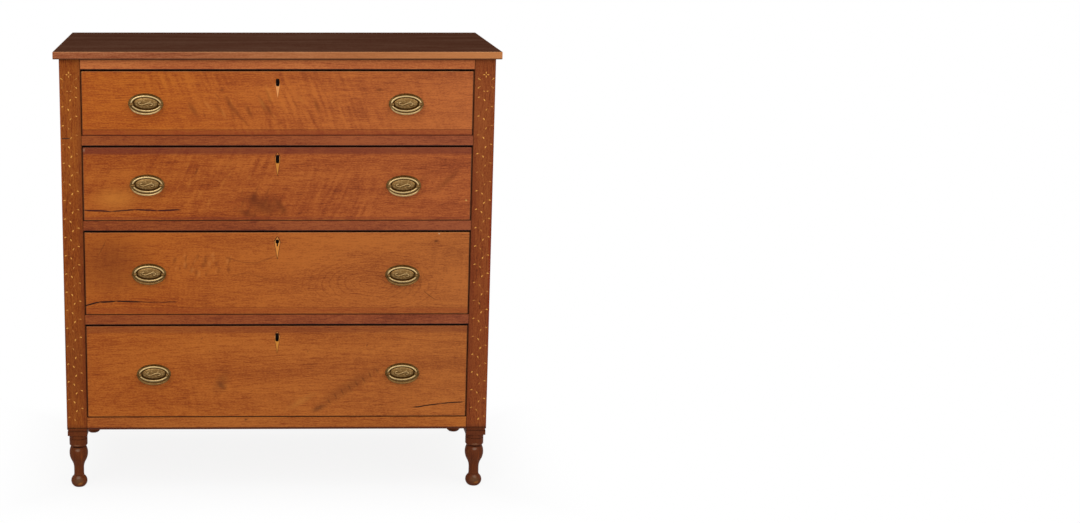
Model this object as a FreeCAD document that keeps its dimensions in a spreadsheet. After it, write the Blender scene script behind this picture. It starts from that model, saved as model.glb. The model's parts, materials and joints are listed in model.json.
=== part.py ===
# Chest of four graduated drawers in the Federal manner: square posts that run down into
# turned feet, a flat front, kite key escutcheons, oval brass pulls and a vine inlaid in
# both front posts.  Millimetres, +Z up, the front faces -Y, and the origin lies on the
# floor under the middle of the top board.
import FreeCAD, Part
import math
import operator
import os
from types import SimpleNamespace

import Sketcher

SIZES = {
    # case
    "case_width": 1040,
    "case_depth": 500,
    "case_height": 1072,
    "post": 50.5,
    "top_thickness": 18,
    "top_depth": 520,
    "top_front_overhang": 13,
    "top_side_overhang": 13.5,
    "top_edge_round": 1.5,
    "rail_depth": 70,
    "rail_tenon": 20,
    "rail_tenon_thickness": 12,
    "case_floor": 154,
    "panel_thickness": 18,
    "panel_recess": 4,
    "panel_tongue": 8,
    "back_thickness": 10,
    "back_rabbet": 12,
    "back_lap": 8,
    "runner_reach": 28,
    "guide_height": 20,
    "guide_gap": 0.4,
    "scribed_line": 1,
    "scribed_line_height": 158,
    # turned foot
    "foot_block_low": 137,
    "foot_block_high": 149,
    "foot_block_inset": 1,
    "foot_band_inset": 1.8,
    "collar_radius": 22.5,
    "collar_low": 110,
    "collar_ring": 126,
    "collar_ring_depth": 0.9,
    "throat_radius": 18.5,
    "throat_height": 104,
    "shoulder_radius": 20.5,
    "shoulder_height": 102,
    "vase_round": 40.6,
    "flare_radius": 17.5,
    "flare_height": 67,
    "flare_hollow": 37,
    "neck_radius": 12.4,
    "neck_high": 48.2,
    "neck_low": 33,
    "ball_top_radius": 13.4,
    "ball_top": 28,
    "ball_round": 17,
    "sole_radius": 12.5,
    # drawer openings, from the floor
    "drawer_1_floor": 888,
    "drawer_1_ceiling": 1046,
    "drawer_2_floor": 680,
    "drawer_2_ceiling": 863,
    "drawer_3_floor": 446,
    "drawer_3_ceiling": 655,
    "drawer_4_floor": 185,
    "drawer_4_ceiling": 421,
    # where each pull was set out: from the middle, and above the opening's floor
    "pull_1_left_across": 314.7,
    "pull_1_left_rise": 77.3,
    "pull_1_right_across": 307.4,
    "pull_1_right_rise": 77,
    "pull_2_left_across": 313.9,
    "pull_2_left_rise": 89.3,
    "pull_2_right_across": 304.4,
    "pull_2_right_rise": 86.9,
    "pull_3_left_across": 312,
    "pull_3_left_rise": 103.8,
    "pull_3_right_across": 305.3,
    "pull_3_right_rise": 100.1,
    "pull_4_left_across": 303.6,
    "pull_4_left_rise": 111.5,
    "pull_4_right_across": 308.7,
    "pull_4_right_rise": 113.3,
    # kite and keyhole of each drawer, from the top edge of its front; worn holes are wide
    "kite_1_drop": 9.5,
    "kite_2_drop": 11.6,
    "kite_3_drop": 9.6,
    "kite_4_drop": 12.7,
    "keyhole_1_length": 17,
    "keyhole_1_half_slot": 3.4,
    "keyhole_2_length": 20,
    "keyhole_2_half_slot": 3.4,
    "keyhole_3_length": 16.4,
    "keyhole_3_half_slot": 1.65,
    "keyhole_4_length": 20.5,
    "keyhole_4_half_slot": 3.4,
    # drawers
    "drawer_side_gap": 1.5,
    "drawer_floor_gap": 0.6,
    "drawer_ceiling_gap": 3.5,
    "drawer_back_gap": 0.5,
    "front_recess": 1,
    "front_thickness": 20,
    "front_edge_round": 1,
    "side_thickness": 12,
    "side_drop": 6,
    "dovetail_length": 14,
    "dovetail_flare": 2.3,
    "bottom_thickness": 10,
    "bottom_edge": 5,
    "bottom_bevel": 45,
    "bottom_lift": 3,
    "groove_depth": 6,
    # locks, from the top edge of the drawer front
    "key_drop": 22,
    "keyhole_radius": 3.65,
    "key_pin_radius": 1.3,
    "key_pin_reach": 15,
    "lock_half_width": 25,
    "lock_depth": 10,
    "lock_height": 40,
    "lock_wall": 1.5,
    "lock_plate_margin": 7,
    "bolt_half_width": 11,
    "bolt_half_thickness": 2,
    "bolt_foot": 5,
    "bolt_foot_top": 13,
    "bolt_foot_low": 19,
    "bolt_gap": 0.3,
    "bolt_mortise": 10,
    # kite escutcheons
    "kite_length": 57,
    "kite_half_width": 8,
    "kite_shoulder": 13.7,
    "kite_tip": 0.6,
    "kite_thickness": 1.5,
    # oval pulls
    "plate_half_width": 42,
    "plate_half_height": 24.5,
    "plate_thickness": 0.9,
    "bead_half_width": 35,
    "bead_half_height": 17.8,
    "bead_half_section": 2.4,
    "bead_radius": 2.6,
    "dome_half_width": 27.5,
    "dome_half_height": 12,
    "dome_rise": 2.8,
    "axis_drop": 1,
    "axis_reach": 10,
    "boring_half": 33.5,
    "eye_radius": 3.5,
    "eye_half_thickness": 2.2,
    "neck_rod_radius": 2.1,
    "collar_rod_radius": 4.2,
    "collar_rod_height": 1.2,
    "shank_radius": 2,
    "shank_length": 28,
    "nut_thickness": 4,
    "nut_radius": 5.2,
    "washer_radius": 7,
    "washer_thickness": 1,
    "bail_half_width": 39,
    "bail_drop": 22.8,
    "bail_end_radius": 1.7,
    "bail_swell": 0.7,
    "bail_pin_radius": 1.5,
    "bail_pin_gap": 0.08,
    "bail_pin_proud": 0.6,
    "elbow_radius": 1.75,
    "finial_radius": 2.2,
    "finial_offset": 1.1,
    # vine inlay, across the post from its middle and up from the floor
    "inlay_depth": 0.8,
    "vine_line": 0.7,
    "vine_period": 45.4,
    "vine_top": 991.9,
    "vine_sway": 5.5,
    "vine_middle": 22.6,
    "vine_sprig": 11,
    "vine_bud_reach": 2.4,
    "vine_bud_drop": 6.8,
    "vine_last_bud": 5.5,
    "flower_height": 1034.5,
    "flower_reach": 4.6,
    "crescent_height": 1014,
    "crescent_half_length": 10.7,
    "crescent_bulge": 7,
    "crescent_from_middle": 10.5,
    "pair_reach": 4,
    "pair_rise": 3,
    "leaf_length": 5.4,
    "leaf_width": 2.4,
    # fastenings
    "screw_radius": 2.5,
    "screw_head_radius": 4.5,
    "screw_length": 38,
    "screw_head": 3,
    "screw_outer_across": 364,
    "screw_inner_across": 125,
    "nail_radius": 1.3,
    "nail_head_radius": 3,
    "nail_head": 1,
    "nail_length": 32,
}

DRAWERS = (1, 2, 3, 4)
VINE_TURNS = 18
BACK_BOARDS = 4
SIDES = {"left": -1, "right": 1}
DOC = FreeCAD.newDocument("chest_of_drawers")


class Length:
    """A length that carries its number and the spreadsheet formula it comes from."""

    def __init__(self, number, formula):
        self.number = float(number)
        self.formula = formula

    def __float__(self):
        return self.number

    def __add__(self, other):
        return combined(self, "+", other)

    def __radd__(self, other):
        return combined(other, "+", self)

    def __sub__(self, other):
        return combined(self, "-", other)

    def __rsub__(self, other):
        return combined(other, "-", self)

    def __mul__(self, other):
        return combined(self, "*", other)

    __rmul__ = __mul__

    def __truediv__(self, other):
        return combined(self, "/", other)

    def __neg__(self):
        return combined(0, "-", self)


SIGNS = {"+": operator.add, "-": operator.sub, "*": operator.mul, "/": operator.truediv}


def length(value):
    """Any number as a Length."""
    if isinstance(value, Length):
        return value
    return Length(value, f"{float(value):.6f}")


def combined(first, sign, second):
    """Two lengths joined by a sign, in number and in formula."""
    first = length(first)
    second = length(second)
    number = SIGNS[sign](first.number, second.number)
    return Length(number, f"({first.formula} {sign} {second.formula})")


def spreadsheet():
    """Writes the driving dimensions to the sheet and gives each back as a Length."""
    sheet = DOC.addObject("Spreadsheet::Sheet", "Sizes")
    lengths = {}
    for row, (alias, value) in enumerate(SIZES.items(), 1):
        sheet.set(f"A{row}", alias)
        sheet.set(f"B{row}", str(value))
        sheet.setAlias(f"B{row}", alias)
        lengths[alias] = Length(value, f"Sizes.{alias}")
    DOC.recompute()
    return lengths


SIZE = SimpleNamespace(**spreadsheet())


def bind(thing, setting, value):
    """Ties one setting of an object to the sheet."""
    thing.setExpression(setting, length(value).formula)


def put(thing, x, y, z):
    """Ties an object's place to the sheet."""
    for axis, value in zip("xyz", (x, y, z)):
        bind(thing, f"Placement.Base.{axis}", value)
    return thing


# ---------------------------------------------------------------- simple solids

ALONG = {
    "X": FreeCAD.Rotation(FreeCAD.Vector(0, 1, 0), 90),
    "Y": FreeCAD.Rotation(FreeCAD.Vector(1, 0, 0), -90),
    "Z": FreeCAD.Rotation(),
}


def ordered(faces):
    """A pair of faces, the lower one first."""
    return sorted((length(face) for face in faces), key=float)


def board(name, x, y, z):
    """A rectangular board: x, y and z are each the pair of faces that bound it."""
    box = DOC.addObject("Part::Box", name)
    corner = []
    for side, faces in zip(("Length", "Width", "Height"), (x, y, z)):
        low, high = ordered(faces)
        bind(box, side, high - low)
        corner.append(low)
    return put(box, *corner)


def rod(name, radius, x, y, z):
    """A round rod about x, y, z: the one given as a pair of ends is the way it runs."""
    cylinder = DOC.addObject("Part::Cylinder", name)
    bind(cylinder, "Radius", radius)
    start = []
    for axis, place in zip("XYZ", (x, y, z)):
        if isinstance(place, tuple):
            place, end = ordered(place)
            bind(cylinder, "Height", end - place)
            cylinder.Placement = FreeCAD.Placement(FreeCAD.Vector(), ALONG[axis])
        start.append(place)
    return put(cylinder, *start)


def ball(name, radius, x, y, z):
    """A sphere about a point."""
    sphere = DOC.addObject("Part::Sphere", name)
    bind(sphere, "Radius", radius)
    return put(sphere, x, y, z)


def fused(name, *pieces):
    """Several shapes as one solid."""
    union = DOC.addObject("Part::MultiFuse", name)
    union.Shapes = list(pieces)
    return union


def shared(name, *pieces):
    """What several shapes have in common."""
    common = DOC.addObject("Part::MultiCommon", name)
    common.Shapes = list(pieces)
    return common


def grouped(name, *pieces):
    """Several separate solids under one name."""
    group = DOC.addObject("Part::Compound", name)
    group.Links = list(pieces)
    return group


def cut(name, blank, *tools):
    """A blank with every tool's shape cut away."""
    remainder = DOC.addObject("Part::Cut", name)
    remainder.Base = blank
    remainder.Tool = tools[0] if len(tools) == 1 else fused(f"{name}_tools", *tools)
    return remainder


def copy_at(name, piece, x, y, z):
    """A piece again, moved to x, y, z."""
    return put(grouped(name, piece), x, y, z)


def mirrored(name, piece):
    """A piece again, on the other side of the middle plane."""
    mirror = DOC.addObject("Part::Mirroring", name)
    mirror.Source = piece
    mirror.Normal = FreeCAD.Vector(1, 0, 0)
    return mirror


# ---------------------------------------------------------------- sketched solids

LEFT = 1
RIGHT = -1


def arc_between(first, last, radius, turn):
    """The short arc from first to last that turns left or right, and its end numbers."""
    chord = last - first
    middle = first + chord * 0.5
    rise = math.sqrt(max(radius**2 - (chord.Length / 2) ** 2, 0))
    across = FreeCAD.Vector(-chord.y, chord.x, 0).normalize()
    centre = middle + across * rise * turn
    ends = (first, last) if turn == LEFT else (last, first)
    angles = [math.atan2(end.y - centre.y, end.x - centre.x) for end in ends]
    if angles[1] < angles[0]:
        angles[1] += 2 * math.pi
    circle = Part.Circle(centre, FreeCAD.Vector(0, 0, 1), radius)
    return Part.ArcOfCircle(circle, *angles), (1, 2) if turn == LEFT else (2, 1)


def outline(sketch, corners):
    """Draws a closed outline through its corners, each tied to the sheet.

    A corner is (across, up), or (across, up, radius, turn) where an arc leads to it.
    """
    points = [FreeCAD.Vector(float(c[0]), float(c[1]), 0) for c in corners]
    ends = []
    for number, corner in enumerate(corners):
        first, last = points[number - 1], points[number]
        if len(corner) == 2:
            curve, numbers = Part.LineSegment(first, last), (1, 2)
        else:
            curve, numbers = arc_between(first, last, float(corner[2]), corner[3])
        sketch.addGeometry(curve, False)
        ends.append(numbers)
    for number, corner in enumerate(corners):
        before = (number - 1) % len(corners)
        start, end = ends[number]
        sketch.addConstraint(
            Sketcher.Constraint("Coincident", number, start, before, ends[before][1])
        )
        for kind, value in zip(("DistanceX", "DistanceY"), corner):
            rule = Sketcher.Constraint(kind, -1, 1, number, end, float(value))
            bind(sketch, f"Constraints[{sketch.addConstraint(rule)}]", value)
        if len(corner) > 2:
            rule = Sketcher.Constraint("Radius", number, float(corner[2]))
            bind(sketch, f"Constraints[{sketch.addConstraint(rule)}]", corner[2])


def sketched(name, plane, corners):
    """A body with one closed outline on one of its own origin planes."""
    body = DOC.addObject("PartDesign::Body", name)
    sketch = body.newObject("Sketcher::SketchObject", f"{name}_outline")
    origin_plane = next(f for f in body.Origin.OriginFeatures if f.Role == plane)
    sketch.AttachmentSupport = (origin_plane, [""])
    sketch.MapMode = "FlatFace"
    outline(sketch, corners)
    return body, sketch


def sawn(name, plane, corners, faces):
    """A body sawn to an outline, between two faces along the plane's axis."""
    body, sketch = sketched(name, plane, corners)
    low, high = ordered(faces)
    pad = body.newObject("PartDesign::Pad", f"{name}_pad")
    pad.Profile = sketch
    bind(pad, "Length", high - low)
    # the XZ plane faces -Y, so there the pad starts from the far face
    bind(sketch, "AttachmentOffset.Base.z", -high if plane == "XZ_Plane" else low)
    return body


def turned(name, corners):
    """A body turned about the upright axis from an outline of (radius, height)."""
    body, sketch = sketched(name, "XZ_Plane", corners)
    spin = body.newObject("PartDesign::Revolution", f"{name}_turning")
    spin.Profile = sketch
    spin.ReferenceAxis = (sketch, ["V_Axis"])
    spin.Angle = 360
    return body


def rounded(body, radius, chosen):
    """Rounds the edges of a body's last feature that chosen picks out."""
    DOC.recompute()
    last = body.Tip
    edges = [f"Edge{n}" for n, edge in enumerate(last.Shape.Edges, 1) if chosen(edge)]
    fillet = body.newObject("PartDesign::Fillet", f"{body.Name}_round")
    fillet.Base = (last, edges)
    bind(fillet, "Radius", radius)
    return body


# ---------------------------------------------------------------- main planes

FRONT = SIZE.top_front_overhang - SIZE.top_depth / 2
BACK = FRONT + SIZE.case_depth
HALF_CASE = SIZE.case_width / 2
HALF_OPENING = HALF_CASE - SIZE.post
PANEL_OUTSIDE = HALF_CASE - SIZE.panel_recess
PANEL_INSIDE = PANEL_OUTSIDE - SIZE.panel_thickness
RAIL_BACK = FRONT + SIZE.rail_depth
POST_FRONT = FRONT + SIZE.post
POST_BACK = BACK - SIZE.post
BOARDS_FRONT = BACK - SIZE.back_thickness
TOP_LOW = SIZE.case_height
DRAWER_FACE = FRONT + SIZE.front_recess
DRAWER_FRONT_BACK = DRAWER_FACE + SIZE.front_thickness
BOLT_Y = DRAWER_FRONT_BACK - SIZE.lock_depth / 2


def floor_of(drawer):
    """Height of the rail under a drawer."""
    return getattr(SIZE, f"drawer_{drawer}_floor")


def ceiling_of(drawer):
    """Height of the rail over a drawer."""
    return getattr(SIZE, f"drawer_{drawer}_ceiling")


# ---------------------------------------------------------------- case


def top_board():
    """The overhanging top, with its edges eased."""
    half_width = HALF_CASE + SIZE.top_side_overhang
    half_depth = SIZE.top_depth / 2
    corners = [
        (-half_width, -half_depth),
        (half_width, -half_depth),
        (half_width, half_depth),
        (-half_width, half_depth),
    ]
    faces = (TOP_LOW, TOP_LOW + SIZE.top_thickness)
    body = sawn("top_blank", "XY_Plane", corners, faces)
    return rounded(body, SIZE.top_edge_round, lambda edge: True)


def turned_foot(name, x, y):
    """The turned end of a post: a ball, a neck, a vase, and a collar under the square."""
    ring_depth = SIZE.collar_ring_depth
    corners = [
        (0, 0),
        (SIZE.sole_radius, 0),
        (SIZE.ball_top_radius, SIZE.ball_top, SIZE.ball_round, LEFT),
        (SIZE.neck_radius, SIZE.neck_low),
        (SIZE.neck_radius, SIZE.neck_high),
        (SIZE.flare_radius, SIZE.flare_height, SIZE.flare_hollow, RIGHT),
        (SIZE.shoulder_radius, SIZE.shoulder_height, SIZE.vase_round, LEFT),
        (SIZE.throat_radius, SIZE.throat_height),
        (SIZE.collar_radius, SIZE.collar_low),
        (SIZE.collar_radius, SIZE.collar_ring - ring_depth),
        (SIZE.collar_radius - ring_depth, SIZE.collar_ring),
        (SIZE.collar_radius, SIZE.collar_ring + ring_depth),
        (SIZE.collar_radius, SIZE.foot_block_low),
        (0, SIZE.foot_block_low),
    ]
    return put(turned(name, corners), x, y, 0)


def post_blank(name, side, front_face):
    """A square post on its turned foot, before any joint is cut in it."""
    outer = HALF_CASE * side
    inner = HALF_OPENING * side
    back_face = front_face + SIZE.post

    def square(part, inset, low, high):
        x = (outer - inset * side, inner + inset * side)
        y = (front_face + inset, back_face - inset)
        return board(f"{name}_{part}", x, y, (low, high))

    return fused(
        f"{name}_blank",
        turned_foot(f"{name}_foot", (outer + inner) / 2, (front_face + back_face) / 2),
        square("block", SIZE.foot_block_inset, SIZE.foot_block_low, SIZE.foot_block_high),
        square("band", SIZE.foot_band_inset, SIZE.foot_block_high, SIZE.case_floor),
        square("square", 0, SIZE.case_floor, TOP_LOW),
    )


def side_panel(name, side):
    """One wide board, tongued into the posts."""
    x = (PANEL_INSIDE * side, PANEL_OUTSIDE * side)
    y = (POST_FRONT - SIZE.panel_tongue, POST_BACK + SIZE.panel_tongue)
    return board(name, x, y, (SIZE.case_floor, TOP_LOW))


FRONT_TENON_Y = FRONT + SIZE.post / 2
REAR_TENON_Y = (POST_BACK + BOARDS_FRONT) / 2


def rail(name, y, z, tenon_y):
    """A cross rail with a tenon at each end."""
    half = SIZE.rail_tenon_thickness / 2
    reach = HALF_OPENING + SIZE.rail_tenon
    shoulder = (z[1] - z[0]) / 4
    tenon_faces = (tenon_y - half, tenon_y + half)
    tenon_heights = (z[0] + shoulder, z[1] - shoulder)
    return fused(
        name,
        board(f"{name}_board", (-HALF_OPENING, HALF_OPENING), y, z),
        board(f"{name}_tenons", (-reach, reach), tenon_faces, tenon_heights),
    )


def front_rail(name, low, high):
    """A rail over or under a drawer, flush with the front of the posts."""
    return rail(name, (FRONT, RAIL_BACK), (low, high), FRONT_TENON_Y)


def rear_rail(name, low, high):
    """A rail between the rear posts, in front of the back boards."""
    return rail(name, (POST_BACK, BOARDS_FRONT), (low, high), REAR_TENON_Y)


def lock_mortise(drawer):
    """The hole over a drawer that its lock bolt rises into."""
    half_width = SIZE.bolt_half_width + SIZE.bolt_gap * 2
    half_thickness = SIZE.bolt_half_thickness + SIZE.bolt_gap * 2
    low = ceiling_of(drawer)
    return board(
        f"lock_mortise_{drawer}",
        (-half_width, half_width),
        (BOLT_Y - half_thickness, BOLT_Y + half_thickness),
        (low, low + SIZE.bolt_mortise),
    )


BACK_BOARD_HEIGHT = (TOP_LOW - SIZE.case_floor) / BACK_BOARDS


def back_board(number):
    """One horizontal back board, lapped over the one below it."""
    name = f"back_board_{number + 1}"
    low = SIZE.case_floor + BACK_BOARD_HEIGHT * number
    high = low + BACK_BOARD_HEIGHT
    half = HALF_OPENING + SIZE.back_rabbet
    middle = (BOARDS_FRONT + BACK) / 2
    outer_low = low - SIZE.back_lap if number else low
    outer_high = high if number == BACK_BOARDS - 1 else high - SIZE.back_lap
    return fused(
        name,
        board(f"{name}_inner", (-half, half), (BOARDS_FRONT, middle), (low, high)),
        board(f"{name}_outer", (-half, half), (middle, BACK), (outer_low, outer_high)),
    )


def runner_and_guide(drawer, side_name):
    """The strip a drawer side slides on, and the guide above it that keeps it straight."""
    side = SIDES[side_name]
    floor = floor_of(drawer)
    thickness = SIZE.drawer_3_floor - SIZE.drawer_4_ceiling
    inside = PANEL_INSIDE * side
    runner = board(
        f"runner_{drawer}_{side_name}",
        ((HALF_OPENING - SIZE.runner_reach) * side, inside),
        (RAIL_BACK, POST_BACK),
        (floor - thickness, floor),
    )
    guide = board(
        f"guide_{drawer}_{side_name}",
        ((HALF_OPENING + SIZE.guide_gap) * side, inside),
        (POST_FRONT, POST_BACK),
        (floor, floor + SIZE.guide_height),
    )
    return runner, guide


def top_kicker(side_name):
    """The strip over the top drawer that stops it tipping as it comes out."""
    side = SIDES[side_name]
    x = ((HALF_OPENING - SIZE.runner_reach) * side, PANEL_INSIDE * side)
    return board(f"kicker_{side_name}", x, (RAIL_BACK, POST_BACK), (ceiling_of(1), TOP_LOW))


def top_screw(name, x, y):
    """A screw that holds the top, up through a rail, its head let in flush."""
    low = ceiling_of(1)
    return fused(
        name,
        rod(f"{name}_shank", SIZE.screw_radius, x, y, (low, low + SIZE.screw_length)),
        rod(f"{name}_head", SIZE.screw_head_radius, x, y, (low, low + SIZE.screw_head)),
    )


def back_nail(name, x, z):
    """A nail through a back board into its post, its head flush."""
    return fused(
        name,
        rod(f"{name}_shank", SIZE.nail_radius, x, (BACK - SIZE.nail_length, BACK), z),
        rod(f"{name}_head", SIZE.nail_head_radius, x, (BACK - SIZE.nail_head, BACK), z),
    )


def case_fasteners():
    """The screws of the top and the nails of the back."""
    rails = {"front": (FRONT + RAIL_BACK) / 2, "rear": REAR_TENON_Y}
    places = {"outer": SIZE.screw_outer_across, "inner": SIZE.screw_inner_across}
    nail_x = HALF_OPENING + SIZE.back_rabbet / 2
    fasteners = []
    for side_name, side in SIDES.items():
        for rail_name, y in rails.items():
            for place_name, x in places.items():
                name = f"screw_{rail_name}_{side_name}_{place_name}"
                fasteners.append(top_screw(name, x * side, y))
        for number in range(BACK_BOARDS * 2):
            z = SIZE.case_floor + BACK_BOARD_HEIGHT * (number + 0.5) / 2
            fasteners.append(back_nail(f"nail_{side_name}_{number + 1}", nail_x * side, z))
    return grouped("case_fasteners", *fasteners)


# ---------------------------------------------------------------- vine inlay

VINE_X = HALF_CASE - SIZE.vine_middle
INLAY_FACES = (FRONT, FRONT + SIZE.inlay_depth)
HALF_LINE = SIZE.vine_line / 2
LEAF_TILT = 25
BUD_TILT = 55
CRESCENT_TILT = 50
PAIR_TILT = 10


def bow(half_chord, rise):
    """Radius of the arc that rises over a chord, and the degrees that it sweeps."""
    radius = (half_chord * half_chord + rise * rise) / (rise * 2)
    return radius, math.degrees(math.asin(float(half_chord) / float(radius))) * 2


def leaf(name, x, z, tilt):
    """A pointed leaf, where two discs overlap, with its long axis tilted from level."""
    half_width = SIZE.leaf_width / 2
    radius, _ = bow(SIZE.leaf_length / 2, half_width)
    shift = radius - half_width
    discs = [
        rod(f"{name}_disc_{side}", radius, 0, INLAY_FACES, shift * side) for side in (-1, 1)
    ]
    shape = put(shared(name, *discs), x, 0, z)
    shape.Placement.Rotation = FreeCAD.Rotation(FreeCAD.Vector(0, -1, 0), tilt)
    return shape


def curved_line(name, x, z, radius, middle_angle, sweep):
    """A thin inlaid line bent about x, z; angles turn from +X towards +Z."""
    ring = []
    for part, reach in (("outer", radius + HALF_LINE), ("inner", radius - HALF_LINE)):
        disc = DOC.addObject("Part::Cylinder", f"{name}_{part}")
        bind(disc, "Radius", reach)
        bind(disc, "Height", SIZE.inlay_depth)
        disc.Angle = sweep
        turn = FreeCAD.Rotation(FreeCAD.Vector(0, -1, 0), middle_angle - sweep / 2)
        disc.Placement = FreeCAD.Placement(FreeCAD.Vector(), turn * ALONG["Y"].inverted())
        ring.append(put(disc, x, FRONT + SIZE.inlay_depth, z))
    return cut(name, *ring)


def vine_turn():
    """One sway of the stem each way, with a sprig and two leaves at each bend."""
    half_chord = SIZE.vine_period / 4
    sway = SIZE.vine_sway
    radius, sweep = bow(half_chord, sway)
    pieces = []
    for bend, side in (("inner", -1), ("outer", 1)):
        # the inner bend, nearer the drawers, comes first on the way down
        z = -half_chord if side < 0 else half_chord * -3
        middle = VINE_X + (sway - radius) * side
        name = f"vine_{bend}"
        sprig = (VINE_X + sway * side, VINE_X + (sway + SIZE.vine_sprig) * side)
        bud_x = VINE_X + SIZE.vine_bud_reach * side
        bud_z = z - SIZE.vine_bud_drop
        pieces += [
            curved_line(f"{name}_bend", middle, z, radius, 0 if side > 0 else 180, sweep),
            board(f"{name}_sprig", sprig, INLAY_FACES, (z - HALF_LINE, z + HALF_LINE)),
            leaf(f"{name}_leaf", sprig[1], z, -LEAF_TILT * side),
            leaf(f"{name}_bud", bud_x, bud_z, BUD_TILT * side),
        ]
    return fused("vine_turn", *pieces)


def vine_flower():
    """Four leaves set as a diamond at the head of the vine."""
    petals = []
    for number in range(4):
        turn = 90 * number
        x = VINE_X + SIZE.flower_reach * math.cos(math.radians(turn))
        z = SIZE.flower_height + SIZE.flower_reach * math.sin(math.radians(turn))
        petals.append(leaf(f"flower_petal_{number + 1}", x, z, turn))
    return petals


def vine_crescents():
    """Two thin crescents back to back under the flower, and the pair of leaves below."""
    half_length = SIZE.crescent_half_length
    radius, sweep = bow(half_length, SIZE.crescent_bulge)
    middle = SIZE.crescent_height
    pair_z = SIZE.vine_top + SIZE.pair_rise
    pieces = []
    for side in (-1, 1):
        name = f"crescent_{'inner' if side < 0 else 'outer'}"
        centre = VINE_X + (SIZE.crescent_from_middle + radius) * side
        tip = VINE_X + (SIZE.crescent_from_middle + SIZE.crescent_bulge) * side
        tilt = CRESCENT_TILT * side
        pieces += [
            curved_line(name, centre, middle, radius, 180 if side > 0 else 0, sweep),
            leaf(f"{name}_high_tip", tip, middle + half_length, tilt),
            leaf(f"{name}_low_tip", tip, middle - half_length, -tilt),
            leaf(f"{name}_pair", VINE_X + SIZE.pair_reach * side, pair_z, PAIR_TILT * side),
        ]
    return pieces


def vine_of_right_post():
    """The whole inlay of the right front post, from its flower down to its last bud."""
    turn = vine_turn()
    turns = [
        copy_at(f"vine_turn_{number + 1}", turn, 0, 0, SIZE.vine_top - SIZE.vine_period * number)
        for number in range(VINE_TURNS)
    ]
    end = SIZE.vine_top - SIZE.vine_period * VINE_TURNS
    last_bud = leaf("vine_last_bud", VINE_X, end - SIZE.vine_last_bud, 90)
    return grouped("vine_right", *turns, last_bud, *vine_flower(), *vine_crescents())


# ---------------------------------------------------------------- drawers

HALF_FRONT = HALF_OPENING - SIZE.drawer_side_gap
SIDE_INSIDE = HALF_FRONT - SIZE.side_thickness
DRAWER_END = BOARDS_FRONT - SIZE.drawer_back_gap
TAIL_PITCH = 38
TAIL_SHARE = 0.32


def low_of(drawer):
    """Height of a drawer's underside."""
    return floor_of(drawer) + SIZE.drawer_floor_gap


def high_of(drawer):
    """Height of the top edge of a drawer's front."""
    return ceiling_of(drawer) - SIZE.drawer_ceiling_gap


def bottom_top_of(drawer):
    """Height of the upper face of a drawer's bottom board."""
    return low_of(drawer) + SIZE.bottom_lift + SIZE.bottom_thickness


def dovetails(low, high, root, tip):
    """Corners, from low to high, of a row of dovetails that stand from root to tip."""
    count = round(float(high - low) / TAIL_PITCH)
    pitch = (high - low) / count
    half_tip = pitch * TAIL_SHARE
    half_root = half_tip - SIZE.dovetail_flare
    corners = []
    for number in range(count):
        middle = low + pitch * (number + 0.5)
        corners += [
            (root, middle - half_root),
            (tip, middle - half_tip),
            (tip, middle + half_tip),
            (root, middle + half_root),
        ]
    return corners


def drawer_side(drawer, side_name):
    """A drawer side, dovetailed to the front and to the back board."""
    low = low_of(drawer)
    high = high_of(drawer) - SIZE.side_drop
    back_low = bottom_top_of(drawer)
    back_root = DRAWER_END - SIZE.side_thickness
    front_root = DRAWER_FRONT_BACK
    front_tip = front_root - SIZE.dovetail_length
    corners = [
        (front_root, low),
        (DRAWER_END, low),
        (DRAWER_END, back_low),
        (back_root, back_low),
        *dovetails(back_low, high, back_root, DRAWER_END),
        (back_root, high),
        (front_root, high),
        *reversed(dovetails(low, high, front_root, front_tip)),
    ]
    side = SIDES[side_name]
    faces = (SIDE_INSIDE * side, HALF_FRONT * side)
    return sawn(f"drawer_{drawer}_{side_name}_side_blank", "YZ_Plane", corners, faces)


def drawer_bottom(drawer):
    """The bottom board, its underside bevelled to fit the grooves of three sides."""
    name = f"drawer_{drawer}_bottom"
    high = bottom_top_of(drawer)
    low = high - SIZE.bottom_thickness
    edge = high - SIZE.bottom_edge
    half = SIDE_INSIDE + SIZE.groove_depth
    start = DRAWER_FRONT_BACK - SIZE.groove_depth
    bevel = SIZE.bottom_bevel
    across = [
        (-half, high),
        (-half, edge),
        (bevel - half, low),
        (half - bevel, low),
        (half, edge),
        (half, high),
    ]
    along = [
        (start, high),
        (start, edge),
        (start + bevel, low),
        (DRAWER_END, low),
        (DRAWER_END, high),
    ]
    return shared(
        name,
        sawn(f"{name}_across", "XZ_Plane", across, (start, DRAWER_END)),
        sawn(f"{name}_along", "YZ_Plane", along, (-half, half)),
    )


def drawer_front_blank(drawer):
    """The drawer front with its outer edges eased, before any joint is cut in it."""
    low = low_of(drawer)
    high = high_of(drawer)
    corners = [
        (-HALF_FRONT, low),
        (HALF_FRONT, low),
        (HALF_FRONT, high),
        (-HALF_FRONT, high),
    ]
    faces = (DRAWER_FACE, DRAWER_FRONT_BACK)
    body = sawn(f"drawer_{drawer}_front_blank", "XZ_Plane", corners, faces)

    def on_face(edge):
        return edge.BoundBox.YMax < float(DRAWER_FACE) + 0.01

    return rounded(body, SIZE.front_edge_round, on_face)


def kite():
    """The kite inlaid round a keyhole, hung from its top point, its face at zero."""
    across = SIZE.kite_half_width
    shoulder = -SIZE.kite_shoulder
    tip = -SIZE.kite_length
    round_shoulder = SIZE.kite_length / 2
    corners = [
        (across, shoulder, round_shoulder, RIGHT),
        (SIZE.kite_tip, tip),
        (-SIZE.kite_tip, tip),
        (-across, shoulder),
        (0, 0, round_shoulder, RIGHT),
    ]
    return sawn("kite", "XZ_Plane", corners, (0, SIZE.kite_thickness))


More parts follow.
